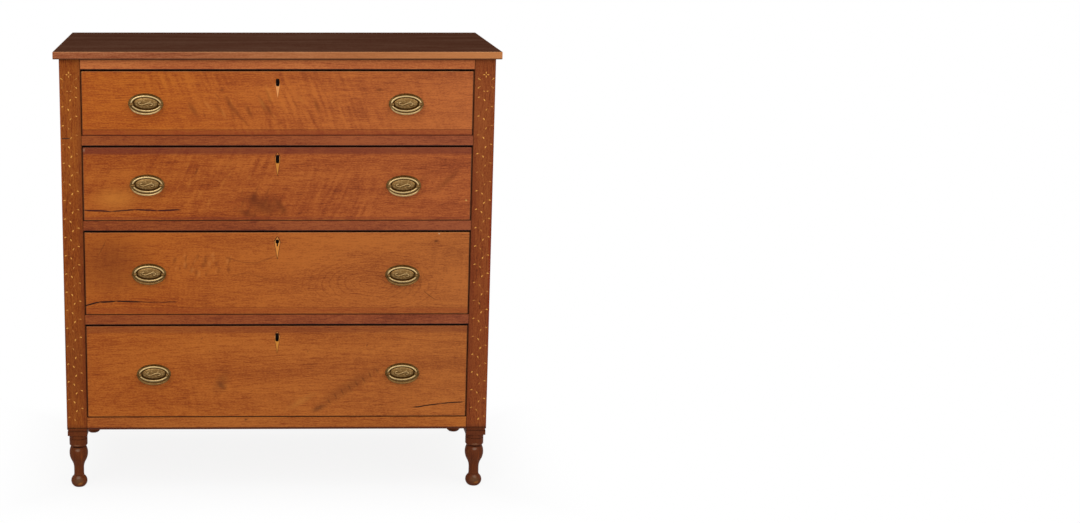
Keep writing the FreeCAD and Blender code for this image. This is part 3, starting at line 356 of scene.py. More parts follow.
@dataclass(frozen=True)
class Board(Finish):
    """Old solid wood, planed and waxed.

    Fibres and pores run along the grain, growth rings show as arched lines round the heart,
    and curl shows as bands across the grain.  Wax gives a soft, broad shine.  Widths and gaps
    are in mm, places in metres and leans in degrees.
    """

    deep: str
    body: str
    pale: str
    grain: Grain = Grain.ALONG_X
    cut_at: tuple[float, float, float] = (0.0, 0.0, 0.0)  # its place in the tree
    drift: float = 0.95
    fibre: float = 0.86
    fleck: float = 0.95
    pore: float = 0.3
    wander: float = 9.0
    curl: float = 0.0
    curl_gap: float = 9.0
    curl_reach: float = 75.0
    curl_lean: float = 20.0
    curl_patch: float = 143.0
    ring: float = 0.06
    ring_gap: float = 9.0
    ring_stretch: float = 9.0
    ring_count: float = 200.0
    heart: tuple[float, float, float] = (0.0, 0.0, 2.0)
    # painted light and reflection on faces that don't look up, stronger towards the right
    right_light: str = ""
    right_light_share: float = 0.0
    right_light_kind: Blend = Blend.TINT
    # pale edges, worn and with a painted highlight
    arris: str = ""
    arris_share: float = 0.0
    # the upper faces' colour: dust, and painted shade
    top_face: str = ""
    top_share: float = 0.9
    top_kind: Blend = Blend.COVER
    foot: str = ""
    foot_share: float = 0.0
    roughness: float = 0.5
    specular: float = 0.12
    relief: float = 0.15
    each_differs: float = 0.0  # how far apart in the tree its pieces were cut, at most
    planks: tuple[float, float] | None = None  # where the lowest plank starts, and their width
    marks: tuple[Mark, ...] = ()

    def sized(self, across: float, along: float) -> tuple[float, float, float]:
        """Fits a pattern to the grain.

        Args:
            across: Its size across the grain in mm.
            along: Its size along the grain in mm.

        Returns:
            A Mapping's scale, in metres.
        """
        sizes = [across * MM] * 3
        sizes[self.grain.value] = along * MM
        return tuple(sizes)

    def spread(self, tree: Tree, place: Source, pattern: Pattern) -> Node:
        """Lays noise over the board, stretched along its grain.

        Args:
            tree: The board's node tree.
            place: Points in the wood, in metres.
            pattern: The noise's size and octaves.

        Returns:
            The noise, about 0.5 in the middle.
        """
        fitted = {"Location": self.cut_at, "Scale": self.sized(pattern.across, pattern.along)}
        local = add(tree, "Mapping", {"Vector": place, **fitted}, vector_type="TEXTURE")
        looks = {"Scale": 1, "Detail": pattern.octaves, "Roughness": 0.6}
        return add(tree, "TexNoise", {"Vector": local, **looks})

    def wood_place(self, tree: Tree, place: Source) -> Source:
        """Moves each piece or plank to its own place in the tree, so that their grain differs.

        Args:
            tree: The board's node tree.
            place: Points of the board, in metres.

        Returns:
            The points in the wood.
        """
        if self.each_differs:
            chance = add(tree, "ObjectInfo").outputs["Random"]
            moved = add(tree, "Math", {0: chance, 1: self.each_differs}, operation="MULTIPLY")
            return add(tree, "VectorMath", {0: place, 1: moved}, operation="ADD")
        if self.planks:
            low, width = self.planks
            height = add(tree, "SeparateXYZ", {0: place}).outputs[2]
            above = add(tree, "Math", {0: height, 1: low * MM}, operation="SUBTRACT")
            widths = add(tree, "Math", {0: above, 1: width * MM}, operation="DIVIDE")
            count = add(tree, "Math", {0: widths}, operation="FLOOR")
            moved = {0: count, 1: PLANK_STEP, 2: place}
            return add(tree, "VectorMath", moved, operation="MULTIPLY_ADD")
        return place

    def figure(self, tree: Tree, place: Source) -> Source:
        """Adds up the layers of the grain to one tone, from 0, deep, to 1, pale.

        Args:
            tree: The board's node tree.
            place: Points in the wood, in metres.

        Returns:
            The tone.
        """
        size = self.sized(SWAY.across, SWAY.along)
        local = add(tree, "Mapping", {"Vector": place, "Scale": size}, vector_type="TEXTURE")
        sway = add(tree, "TexNoise", {"Vector": local, "Scale": 1, "Detail": SWAY.octaves}).outputs["Color"]
        bent = {0: sway, 1: (self.wander * MM,) * 3, 2: place}
        warped = add(tree, "VectorMath", bent, operation="MULTIPLY_ADD")
        layers = [
            (self.spread(tree, warped, DRIFT), self.drift),
            (self.spread(tree, warped, FIBRE), self.fibre),
            (self.spread(tree, place, FLECK), self.fleck),
            (add(tree, "MapRange", {"Value": self.spread(tree, warped, PORE), **PEAKS}), self.pore),
        ]
        if self.ring:
            layers.append((self.rings(tree, warped), self.ring))
        if self.curl:
            layers.append((self.curly(tree, place), self.curl))
        tone = 0.5 - sum(weight for _, weight in layers) / 2
        for layer, weight in layers:
            tone = add(tree, "Math", {0: layer, 1: weight, 2: tone}, operation="MULTIPLY_ADD")
        return tone

    def rings(self, tree: Tree, warped: Source) -> Node:
        """Makes the growth rings, which die away after so many from the heart.

        Args:
            tree: The board's node tree.
            warped: Points in the wood, moved a little, so that the rings wander.

        Returns:
            The rings, from 0 where the late wood is darkest to 1 between them.
        """
        size = self.sized(self.ring_gap, self.ring_gap * self.ring_stretch)
        fitted = {"Location": self.heart, "Scale": size}
        around = add(tree, "Mapping", {"Vector": warped, **fitted}, vector_type="TEXTURE")
        looks = {"Scale": WAVE_UNIT, "Distortion": 5, "Detail": 3, "Detail Scale": 0.8}
        shape = {"wave_type": "RINGS", "rings_direction": "SPHERICAL", "wave_profile": "SAW"}
        saw = add(tree, "TexWave", {"Vector": around, **looks}, **shape).outputs["Fac"]
        late = add(tree, "MapRange", {"Value": saw, **LATE_WOOD})
        away = add(tree, "VectorMath", {0: around}, operation="LENGTH")
        limits = {"From Min": self.ring_count, "From Max": self.ring_count * RINGS_FADE_FROM}
        left = add(tree, "MapRange", {"Value": away, **limits})
        shown = add(tree, "Math", {0: late, 1: left}, operation="MULTIPLY")
        return add(tree, "Math", {0: 1.0, 1: shown}, operation="SUBTRACT")

    def curly(self, tree: Tree, place: Source) -> Node:
        """Makes the bands of curly figure, which come and go over the board.

        Args:
            tree: The board's node tree.
            place: Points in the wood, in metres.

        Returns:
            The bands, 0.5 where there are none.
        """
        fitted = {
            "Location": self.cut_at,
            "Rotation": (0, math.radians(self.curl_lean), 0),
            "Scale": (self.curl_gap * MM, 1, self.curl_reach * MM),
        }
        leaning = add(tree, "Mapping", {"Vector": place, **fitted}, vector_type="TEXTURE")
        bands = add(tree, "TexNoise", {"Vector": leaning, "Scale": 1, "Detail": 1})
        patches = add(tree, "TexNoise", {"Vector": place, "Scale": 1 / (self.curl_patch * MM), "Detail": 1})
        here = add(tree, "MapRange", {"Value": patches, **CURLY_PATCHES})
        centred = add(tree, "Math", {0: bands, 1: 0.5}, operation="SUBTRACT")
        return add(tree, "Math", {0: centred, 1: here, 2: 0.5}, operation="MULTIPLY_ADD")

    def edge_distance(self, tree: Tree, place: Source, box: Box) -> Node:
        """Finds how far a point of a board's surface is from the nearest edge.

        Args:
            tree: The board's node tree.
            place: Points of the board, in metres.
            box: The board's lowest and highest corner.

        Returns:
            The distance in metres: the middle one of the three distances to the box's sides.
        """
        off = add(tree, "VectorMath", {0: place, 1: (box[0] + box[1]) / 2}, operation="SUBTRACT")
        size = add(tree, "VectorMath", {0: off}, operation="ABSOLUTE")
        left = add(tree, "VectorMath", {0: (box[1] - box[0]) / 2, 1: size}, operation="SUBTRACT")
        parts = add(tree, "SeparateXYZ", {0: left}).outputs
        low = add(tree, "Math", {0: parts[0], 1: parts[1]}, operation="MINIMUM")
        high = add(tree, "Math", {0: parts[0], 1: parts[1]}, operation="MAXIMUM")
        capped = add(tree, "Math", {0: high, 1: parts[2]}, operation="MINIMUM")
        return add(tree, "Math", {0: low, 1: capped}, operation="MAXIMUM")

    def aged_and_painted_light(self, tree: Tree, place: Socket, colour: Source, box: Box, up: Socket) -> Source:
        """Lays age and painted light over the colour: painted light towards the right, dark feet, upper
        faces darkened by dust and painted shade, and edges pale with wear and a painted highlight.

        Args:
            tree: The board's node tree.
            place: Points of the board, in metres.
            colour: The colour of the fresh board.
            box: The board's lowest and highest corner.
            up: How far each face looks up.

        Returns:
            The colour with its age.
        """
        parts = add(tree, "SeparateXYZ", {0: place}).outputs
        layers = []
        # painted light and reflection, stronger towards the right
        if self.right_light:
            lit_right = add(tree, "MapRange", {"Value": parts[0], **LIT_TO_THE_RIGHT, "To Max": self.right_light_share})
            upright = add(tree, "MapRange", {"Value": up, **FACING_UP, "To Min": 1, "To Max": 0})
            share = add(tree, "Math", {0: lit_right, 1: upright}, operation="MULTIPLY")
            layers.append((share, self.right_light, self.right_light_kind))
        if self.foot:
            share = add(tree, "MapRange", {"Value": parts[2], **FOOT_TOP, "To Max": self.foot_share})
            layers.append((share, self.foot, Blend.COVER))
        # dust, and painted shade on the upper faces
        if self.top_face:
            share = add(tree, "MapRange", {"Value": up, **FACING_UP, "To Max": self.top_share})
            layers.append((share, self.top_face, self.top_kind))
        # pale edges: wear, and a painted highlight
        if self.arris:
            close = add(tree, "MapRange", {"Value": self.edge_distance(tree, place, box), **ARRIS_WEAR_AND_HIGHLIGHT})
            looks = {"Scale": 1 / (ARRIS_PATCH * MM), "Detail": 4}
            uneven = add(tree, "TexNoise", {"Vector": place, **looks})
            cover = add(tree, "Math", {0: close, 1: uneven}, operation="MULTIPLY")
            share = add(tree, "Math", {0: cover, 1: self.arris_share}, operation="MULTIPLY")
            layers.append((share, self.arris, Blend.COVER))
        for share, tint, kind in layers:
            mixed = {0: share, 6: colour, 7: linear(tint)}
            colour = add(tree, "Mix", mixed, data_type="RGBA", blend_type=kind.value)
        return colour

    def marked(self, tree: Tree, place: Socket, colour: Source, face_y: float) -> Source:
        """Lays the marks over the colour, on places that noise moves for uneven edges.

        Args:
            tree: The board's node tree.
            place: Points of the board, in metres.
            colour: The colour so far.
            face_y: Where the board's face is, in metres.

        Returns:
            The colour with the marks.
        """
        moved = [place]
        for size, reach in EDGE_WAVES:
            waves = add(tree, "TexNoise", {"Vector": place, "Scale": 1 / (size * MM), "Detail": 2})
            off = {0: waves.outputs["Color"], 1: (0.5,) * 3}
            centred = add(tree, "VectorMath", off, operation="SUBTRACT")
            shift = {0: centred, 1: (reach * MM, 0, reach * MM), 2: moved[-1]}
            moved.append(add(tree, "VectorMath", shift, operation="MULTIPLY_ADD"))
        for mark in self.marks:
            colour = mark.paint(tree, face_y, colour, moved[mark.edge.value])
        return colour

    def shader(self, tree: Tree, box: Box | None) -> Node:
        """Builds the wood.

        Args:
            tree: The material's node tree.
            box: The board's lowest and highest corner.

        Returns:
            The shader.
        """
        place = add(tree, "TexCoord").outputs["Object"]
        up = add(tree, "SeparateXYZ", {0: add(tree, "NewGeometry").outputs["Normal"]}).outputs[2]
        tone = self.figure(tree, self.wood_place(tree, place))
        ramp = add(tree, "ValToRGB", {0: tone})
        stops = ramp.color_ramp.elements
        stops.new(GRAIN_STOPS[1])
        for stop, at, tint in zip(stops, GRAIN_STOPS, (self.deep, self.body, self.pale)):
            stop.position, stop.color = at, linear(tint)
        colour = self.aged_and_painted_light(tree, place, ramp, box, up)
        if self.marks:
            colour = self.marked(tree, place, colour, box[0].y)
        shine = self.specular
        if self.top_face:
            dusty = {"Value": up, **FACING_UP, "To Min": self.specular, "To Max": 0}
            shine = add(tree, "MapRange", dusty)
        smoother = {0: tone, 1: -2 * ROUGHER, 2: self.roughness + ROUGHER}
        rough = add(tree, "Math", smoother, operation="MULTIPLY_ADD")
        bump = add(tree, "Bump", {"Height": tone, "Strength": self.relief, "Distance": TONE_DEPTH * MM})
        looks = {"Roughness": rough, "Normal": bump, "Specular IOR Level": shine}
        return add(tree, "BsdfPrincipled", {"Base Color": colour, **looks})


@dataclass(frozen=True)
class Kite(Finish):
    """Satinwood kite, let in and waxed: pale orange, with a thin dark glue line round it.

    Sizes are in mm.  The hole, round which painted shade widens the keyhole's darkness, is its middle's
    height and its half sizes, up and across.
    """

    deep: str
    pale: str
    head: str
    glue: str = "#5A2810"
    # painted shade round the keyhole
    hole_shade: str = "#0A0503"
    length: float = 57.0
    half_width: float = 8.0
    tip_half: float = 0.6
    shoulder: float = 13.7
    glue_line: float = 1.1
    head_from: float = 0.6
    head_blend: float = 0.08
    fibre: tuple[float, float] = (1.5, 22.0)  # across and along the grain
    hole: tuple[float, float, float] = (0.0, 1.0, 1.0)

    def shader(self, tree: Tree, box: Box | None) -> Node:
        """Builds the kite's wood.

        Args:
            tree: The material's node tree.
            box: The kite's box, which isn't needed here.

        Returns:
            The shader.
        """
        source = add(tree, "TexCoord").outputs
        share = add(tree, "SeparateXYZ", {0: source["Generated"]}).outputs
        across = add(tree, "Math", {0: share[0], 1: 0.5}, operation="SUBTRACT")
        off = add(tree, "Math", {0: across}, operation="ABSOLUTE")
        away = add(tree, "Math", {0: off, 1: 2 * self.half_width}, operation="MULTIPLY")
        widest = {"From Max": 1 - self.shoulder / self.length, "To Max": self.half_width}
        lower = add(tree, "MapRange", {"Value": share[2], "To Min": self.tip_half, **widest})
        upper = add(tree, "MapRange", {"Value": share[2], "From Min": 1, **widest})
        half = add(tree, "Math", {0: lower, 1: upper}, operation="MINIMUM")
        room = add(tree, "Math", {0: half, 1: away}, operation="SUBTRACT")
        seam = {"From Min": self.glue_line, "From Max": self.glue_line / 3}
        glued = add(tree, "MapRange", {"Value": room, **seam})
        size = (self.fibre[0] * MM, 1, self.fibre[1] * MM)
        local = add(tree, "Mapping", {"Vector": source["Object"], "Scale": size}, vector_type="TEXTURE")
        fibres = add(tree, "TexNoise", {"Vector": local, "Scale": 1, "Detail": 3})
        limits = {"From Min": self.head_from, "From Max": self.head_from + self.head_blend}
        above = add(tree, "MapRange", {"Value": share[2], **limits})
        height, half_high, half_wide = self.hole
        fitted = {"Location": (0, 0, height * MM), "Scale": (half_wide * MM, 1, half_high * MM)}
        worn = add(tree, "Mapping", {"Vector": source["Object"], **fitted}, vector_type="TEXTURE")
        squared = add(tree, "VectorMath", {0: worn, 1: worn}, operation="MULTIPLY")
        reach = add(tree, "VectorMath", {0: squared}, operation="LENGTH")
        # painted shade round the keyhole
        hole_shading = add(tree, "MapRange", {"Value": reach, **HOLE_SHADE})
        layers = ((fibres, self.pale), (above, self.head), (glued, self.glue), (hole_shading, self.hole_shade))
        colour = linear(self.deep)
        for cover, tint in layers:
            colour = add(tree, "Mix", {0: cover, 6: colour, 7: linear(tint)}, data_type="RGBA")
        return add(tree, "BsdfPrincipled", {"Base Color": colour, **WAXED_INLAY})


@dataclass(frozen=True)
class VineInlay(Finish):
    """Light wood let into the posts: golden leaves, some dull, on stems as brown as the post.

    Where a leaf is comes from the vine's repeat, in mm from the stem's middle and down a turn.
    """

    stem: str = "#965222"
    leaf: str = "#E8A44C"
    dull: str = "#B47034"
    middle: float = 497.4
    top: float = 991.9
    turn: float = 45.4
    leaf_from: float = 13.2
    buds: tuple[tuple[float, float], ...] = ((-2.4, 18.15), (2.4, 40.85))
    bud_reach: float = 3.4
    head_above: float = 0.5
    head_half: float = 9.5
    patch: float = 14.3  # leaves this close together are alike

    def shader(self, tree: Tree, box: Box | None) -> Node:
        """Builds the inlay's wood.

        Args:
            tree: The material's node tree.
            box: The inlay's box, which isn't needed here.

        Returns:
            The shader.
        """
        place = add(tree, "TexCoord").outputs["Object"]
        sized = add(tree, "VectorMath", {0: place, "Scale": 1 / MM}, operation="SCALE")
        parts = add(tree, "SeparateXYZ", {0: sized}).outputs
        aside = add(tree, "Math", {0: parts[0]}, operation="ABSOLUTE")
        across = add(tree, "Math", {0: aside, 1: self.middle}, operation="SUBTRACT")
        away = add(tree, "Math", {0: across}, operation="ABSOLUTE")
        down = add(tree, "Math", {0: self.top, 1: parts[2]}, operation="SUBTRACT")
        within = add(tree, "Math", {0: down, 1: self.turn, 2: 0.0}, operation="WRAP")
        here = add(tree, "CombineXYZ", {0: across, 1: within})
        found = add(tree, "Math", {0: away, 1: self.leaf_from}, operation="GREATER_THAN")
        for bud in self.buds:
            gap = add(tree, "VectorMath", {0: here, 1: (*bud, 0)}, operation="DISTANCE")
            near = add(tree, "Math", {0: gap, 1: self.bud_reach}, operation="LESS_THAN")
            found = add(tree, "Math", {0: found, 1: near}, operation="MAXIMUM")
        above = add(tree, "Math", {0: down, 1: -self.head_above}, operation="LESS_THAN")
        inside = add(tree, "Math", {0: away, 1: self.head_half}, operation="LESS_THAN")
        head = add(tree, "Math", {0: above, 1: inside}, operation="MULTIPLY")
        found = add(tree, "Math", {0: found, 1: head}, operation="MAXIMUM")
        chance = add(tree, "TexNoise", {"Vector": place, "Scale": 1 / (self.patch * MM), "Detail": 1})
        light = add(tree, "MapRange", {"Value": chance, **GOLDEN_LEAVES})
        leaf = add(tree, "Mix", {0: light, 6: linear(self.dull), 7: linear(self.leaf)}, data_type="RGBA")
        colour = add(tree, "Mix", {0: found, 6: linear(self.stem), 7: leaf}, data_type="RGBA")
        return add(tree, "BsdfPrincipled", {"Base Color": colour, **WAXED_INLAY})


# ---------------------------------------------------------------- metal

POLISH_STOPS = (0.05, 0.45, 0.95)  # the tones that are all hollow, all body and all bright
BLOTCHED = 0.5  # how far apart in tone the blotches are
BAIL_ENDS = {"From Min": 0.36, "From Max": 0.48}  # as a share of the width, from its middle
POLISHED = {"To Min": 0.55, "To Max": 0.27}  # the roughness, of the hollows and of the bright spots
RUST_PATCHES = {"From Min": 0.45, "From Max": 0.65}  # from clean to rusted
RUST_METAL = {"To Min": 1, "To Max": 0.4}  # how metallic it is, clean and rusted


@dataclass(frozen=True)
class Brass(Finish):
    """Stamped or cast brass with old lacquer gone brown: bright where hands polish it.

    The mesh's polish attribute, from 0 in hollows to 1 on high spots and lowered where shade is painted on
    the plate, sets how bright it is, unless the finish has a polish of its own.
    """

    hollow: str = "#3E2508"
    body: str = "#7A5B33"
    bright: str = "#CEB27E"
    polish: float | None = None
    dull_ends: float = 0.0
    blotch: float = 6.0  # mm
    pitting: float = 0.2  # mm

    def shader(self, tree: Tree, box: Box | None) -> Node:
        """Builds the brass.

        Args:
            tree: The material's node tree.
            box: The piece's box, which isn't needed here.

        Returns:
            The shader.
        """
        source = add(tree, "TexCoord").outputs
        looks = {"Scale": 1 / (self.blotch * MM), "Detail": 4, "Roughness": 0.65}
        blotches = add(tree, "TexNoise", {"Vector": source["Object"], **looks})
        polished = self.polish
        if polished is None:
            polished = add(tree, "Attribute", attribute_name="polish").outputs["Fac"]
        uneven = {0: blotches, 1: BLOTCHED, 2: -BLOTCHED / 2}
        worn = add(tree, "Math", uneven, operation="MULTIPLY_ADD")
        tone = add(tree, "Math", {0: polished, 1: worn}, operation="ADD")
        if self.dull_ends:
            along = add(tree, "SeparateXYZ", {0: source["Generated"]}).outputs[0]
            off = add(tree, "Math", {0: along, 1: 0.5}, operation="SUBTRACT")
            away = add(tree, "Math", {0: off}, operation="ABSOLUTE")
            dulled = add(tree, "MapRange", {"Value": away, **BAIL_ENDS, "To Max": self.dull_ends})
            tone = add(tree, "Math", {0: tone, 1: dulled}, operation="SUBTRACT")
        ramp = add(tree, "ValToRGB", {0: tone})
        stops = ramp.color_ramp.elements
        stops.new(POLISH_STOPS[1])
        for stop, at, tint in zip(stops, POLISH_STOPS, (self.hollow, self.body, self.bright)):
            stop.position, stop.color = at, linear(tint)
        rough = add(tree, "MapRange", {"Value": tone, **POLISHED})
        bump = add(tree, "Bump", {"Height": blotches, "Strength": 0.2, "Distance": self.pitting * MM})
        looks = {"Metallic": 1, "Roughness": rough, "Normal": bump}
        return add(tree, "BsdfPrincipled", {"Base Color": ramp, **looks})


@dataclass(frozen=True)
class Iron(Finish):
    """Wrought iron, black with age: dull, and brown in patches with old rust."""

    dark: str = "#2A2725"
    rust: str = "#4A3224"
    patch: float = 8.33  # mm
    scale_depth: float = 0.3  # mm

    def shader(self, tree: Tree, box: Box | None) -> Node:
        """Builds the iron.

        Args:
            tree: The material's node tree.
            box: The piece's box, which isn't needed here.

        Returns:
            The shader.
        """
        place = add(tree, "TexCoord").outputs["Object"]
        looks = {"Scale": 1 / (self.patch * MM), "Detail": 6, "Roughness": 0.7}
        patches = add(tree, "TexNoise", {"Vector": place, **looks})
        rusted = add(tree, "MapRange", {"Value": patches, **RUST_PATCHES})
        mixed = {0: rusted, 6: linear(self.dark), 7: linear(self.rust)}
        colour = add(tree, "Mix", mixed, data_type="RGBA")
        metal = add(tree, "MapRange", {"Value": rusted, **RUST_METAL})
        bump = add(tree, "Bump", {"Height": patches, "Strength": 0.4, "Distance": self.scale_depth * MM})
        looks = {"Metallic": metal, "Roughness": 0.6, "Normal": bump}
        return add(tree, "BsdfPrincipled", {"Base Color": colour, **looks})


# ---------------------------------------------------------------- finishes of this chest

PAINTED_SHADE = "#1C0C06"  # painted shade, next to black: in gaps, in the turnings' grooves and under overhangs
GAP_SHADE = "#0A0203"  # painted shade in the gap between a drawer and its rail
DUST_AND_GAP_SHADE = "#341B10"  # dust on the upper edges inside the case, with painted shade of the gaps above them
SHADE = "#6E3212"  # the dark side of a curl in the grain
STILE_SHADOWS = (
    upright_line(-467.5, 1.9, "#451A0E", 0.6),
    upright_line(467.5, 2.1, "#3A160C", 0.65),
)
BACK_PLANKS = (154, 229)  # where the lowest back board starts, and each one's width, in mm

# Curly cherry, planed and waxed: orange brown, with bands of curl that lean across the grain.
DRAWER_1 = Board(
    "CurlyCherryFront1", "#7C350F", "#A14C16", "#BE6820", cut_at=(0.3, 0, 0.11),
    curl=0.8, curl_lean=-22, curl_gap=10, curl_reach=60, heart=(-0.1, -0.246, 1.25), ring_gap=14,
    # painted light towards the right, pale edges worn and with a painted highlight, and dust with painted
    # shade on the top edge
    right_light="#A8603C", right_light_share=0.5, arris="#C08A5C", arris_share=0.7, top_face=DUST_AND_GAP_SHADE,
    marks=(
        Mark(-201, 950, 34, 11, 125, SHADE, 0.5),
        Mark(-133, 998, 8, 7, 0, SHADE, 0.65),
        Mark(-113, 962, 38, 9, 118, SHADE, 0.6),
        Mark(-96, 943, 28, 7, 122, SHADE, 0.5),
        Mark(-69, 947, 26, 8, 118, SHADE, 0.55),
        Mark(-35, 965, 30, 7, 122, SHADE, 0.55),
        Mark(-20, 950, 24, 7, 118, SHADE, 0.6),
        Mark(94, 961, 26, 8, 113, SHADE, 0.55),
        Mark(140, 968, 20, 6, 118, SHADE, 0.25),
        Mark(242, 998, 14, 6, 10, SHADE, 0.7),
        *scattered(Mark(-60, 955, 26, 5, 120, SHADE, 0.4), 150, 34, 16),
        *scattered(Mark(-70, 965, 24, 7, 120, "#CC7C34", 0.4), 160, 34, 12),
        Mark(-466, 1040, 4, 2, 40, "#B09850", 0.6),
        level_line(902, 1.5, "#5A2410", 0.7),
        # painted shade in the gap below the drawer
        level_line(889.5, 1.8, PAINTED_SHADE, 0.85),
        keyhole(1016, 14),
        level_line(894, 9, "#7E301A", 0.5),
        *STILE_SHADOWS,
    ),
)

# Curly cherry from a darker board: the curl gathers below the keyhole, and a crack runs in at
# the lower left.
DRAWER_2 = Board(
    "CurlyCherryFront2", "#6C2A10", "#964515", "#B66423", cut_at=(1.2, 0, 0.42),
    drift=1.1, curl=0.7, curl_lean=24, curl_gap=11, curl_reach=70, heart=(0.3, -0.246, 0.5), ring_gap=12,
    # painted light towards the right, pale edges worn and with a painted highlight, and dust with painted
    # shade on the top edge
    right_light="#8E4A30", right_light_share=0.4, arris="#C89A6C", arris_share=0.8, top_face=DUST_AND_GAP_SHADE,
    marks=(
        *crack(
            ((-468, 706), (-400, 704), (-345, 708), (-290, 706), (-236, 708)),
            2.2, tint="#3A1210", strength=1,
        ),
        Mark(-195, 801, 20, 4, 65, SHADE, 0.6),
        Mark(-57, 737, 22, 13, 80, SHADE, 0.85),
        Mark(-35, 718, 70, 34, -20, "#5E280E", 0.6),
        Mark(-75, 699, 34, 14, -20, SHADE, 0.7),
        Mark(6, 718, 40, 13, -55, SHADE, 0.7),
        *scattered(Mark(-45, 725, 22, 5, 62, SHADE, 0.45), 85, 34, 20),
        *scattered(Mark(-150, 775, 20, 5, 64, "#C67830", 0.35), 120, 50, 16),
        Mark(330, 760, 70, 12, 48, SHADE, 0.4),
        Mark(410, 778, 60, 12, 44, SHADE, 0.45),
        Mark(457, 730, 3, 3, 0, "#D8B460", 0.9),
        Mark(-390, 735, 80, 40, 0, "#C4782E", 0.6),
        level_line(853, 14, "#662820", 0.65),
        keyhole(832, 16),
        level_line(687, 4, "#7A3420", 0.4),
        # painted shade in the gap below the drawer
        level_line(681.5, 1.8, PAINTED_SHADE, 0.85),
        *STILE_SHADOWS,
        Mark(-464, 853, 6, 3, 90, "#A8866A", 0.5),
    ),
)

# Cherry, flat-sawn: rings arch round the heart at the right, and a long crack comes in low at
# the left.
DRAWER_3 = Board(
    "CherryFront3", "#732F0E", "#984715", "#B86421", cut_at=(0.7, 0, 0.8),
    curl=0.3, curl_lean=5,
    heart=(0.235, -0.246, 0.527), ring=0.2, ring_gap=8, ring_stretch=2.2, ring_count=12,
    # painted light towards the right, pale edges worn and with a painted highlight, and dust with painted
    # shade on the top edge
    right_light="#A8683A", right_light_share=0.4, arris="#C08A5C", arris_share=0.6, top_face=DUST_AND_GAP_SHADE,
    marks=(
        *crack(((-470, 469), (-432, 479), (-395, 481), (-335, 479)), 2.2, tint="#1E0C06", strength=1),
        *crack(((-340, 479), (-287, 477), (-245, 479)), 1.8, tint="#4A1C0C", strength=0.8),
        *crack(((-417, 631), (-434, 596)), 1.5, strength=0.35),
        *scattered(Mark(-190, 570, 14, 7, 80, SHADE, 0.5), 84, 26, 30),
        *scattered(Mark(-180, 574, 13, 7, 76, "#C87A36", 0.5), 92, 28, 18),
        *crack(((-125, 590), (-86, 578), (-50, 575), (-1, 595)), 2.2, tint=SHADE, strength=0.35),
        *crack(((-113, 543), (-72, 552), (-21, 534)), 2.2, tint=SHADE, strength=0.3),
        Mark(386, 629, 8, 6, 20, "#4A1E0C", 0.85),
        Mark(405, 659, 6, 3, 50, "#EAD2A8", 0.8),
        Mark(392, 648, 3, 2.4, 0, "#EAD2A8", 0.8),
        *crack(((359, 504), (387, 484)), 1.2, strength=0.5),
        Mark(-405, 575, 150, 130, 0, "#70330F", 0.5),
        level_line(456, 9, "#8A3A1A", 0.4),
        keyhole(626, 14),
        level_line(464, 1.4, "#6A2C12", 0.4),
        # painted shade in the gap below the drawer
        level_line(447.5, 1.8, PAINTED_SHADE, 0.85),
        *STILE_SHADOWS,
    ),
)

# Cherry, flat-sawn: a broad dark flame of figure right of the middle, and a crack at the lower
# right.
DRAWER_4 = Board(
    "CherryFront4", "#77330F", "#9C4B17", "#BA6825", cut_at=(2.1, 0, 1.3),
    curl=0.25, curl_lean=-10, heart=(0.15, -0.246, 0.235), ring=0.1, ring_gap=13, ring_stretch=6,
    # painted light towards the right, pale edges worn and with a painted highlight, and dust with painted
    # shade on the top edge
    right_light="#A86838", right_light_share=0.35, arris="#C08A5C", arris_share=0.6, top_face=DUST_AND_GAP_SHADE,
    marks=(
        Mark(177, 262, 135, 24, 33, "#7A3E18", 0.5),
        Mark(104, 208, 30, 10, 22, "#4A2410", 0.55),
        *(Mark(128 + 17 * i, 226 + 11 * i, 13, 3.4, 118, "#54280F", 0.5) for i in range(8)),
        Mark(60, 225, 60, 12, 30, "#C07A34", 0.45),
        *crack(((337, 209), (404, 218), (463, 224)), 1.9, tint="#2A1208", strength=0.95),
        Mark(-137, 275, 46, 24, 60, "#7A4018", 0.5),
        Mark(-137, 266, 20, 11, -40, "#5A2C12", 0.5),
        Mark(76, 353, 5, 2.6, 70, "#5A2810", 0.6),
        Mark(221, 368, 5, 2.6, 70, "#5A2810", 0.6),
        Mark(-185, 387, 6, 2.6, 60, "#5A2810", 0.5),
        Mark(-166, 354, 6, 2.6, 60, "#5A2810", 0.5),
        level_line(410, 14, "#6E301C", 0.4),
        # painted shade in the gap below the drawer
        level_line(186.5, 1.8, PAINTED_SHADE, 0.85),
        keyhole(390, 16),
        *STILE_SHADOWS,
    ),
)

FOOT_RINGS = (  # painted shade in the grooves of the turnings and under the bottom rail
    level_line(157, 1.4, PAINTED_SHADE, 0.7),
    level_line(148, 1.2, PAINTED_SHADE, 0.6),
    level_line(126, 1, PAINTED_SHADE, 0.6),
    level_line(106, 2.6, PAINTED_SHADE, 0.95),
    level_line(30.5, 2.2, PAINTED_SHADE, 0.8),
)

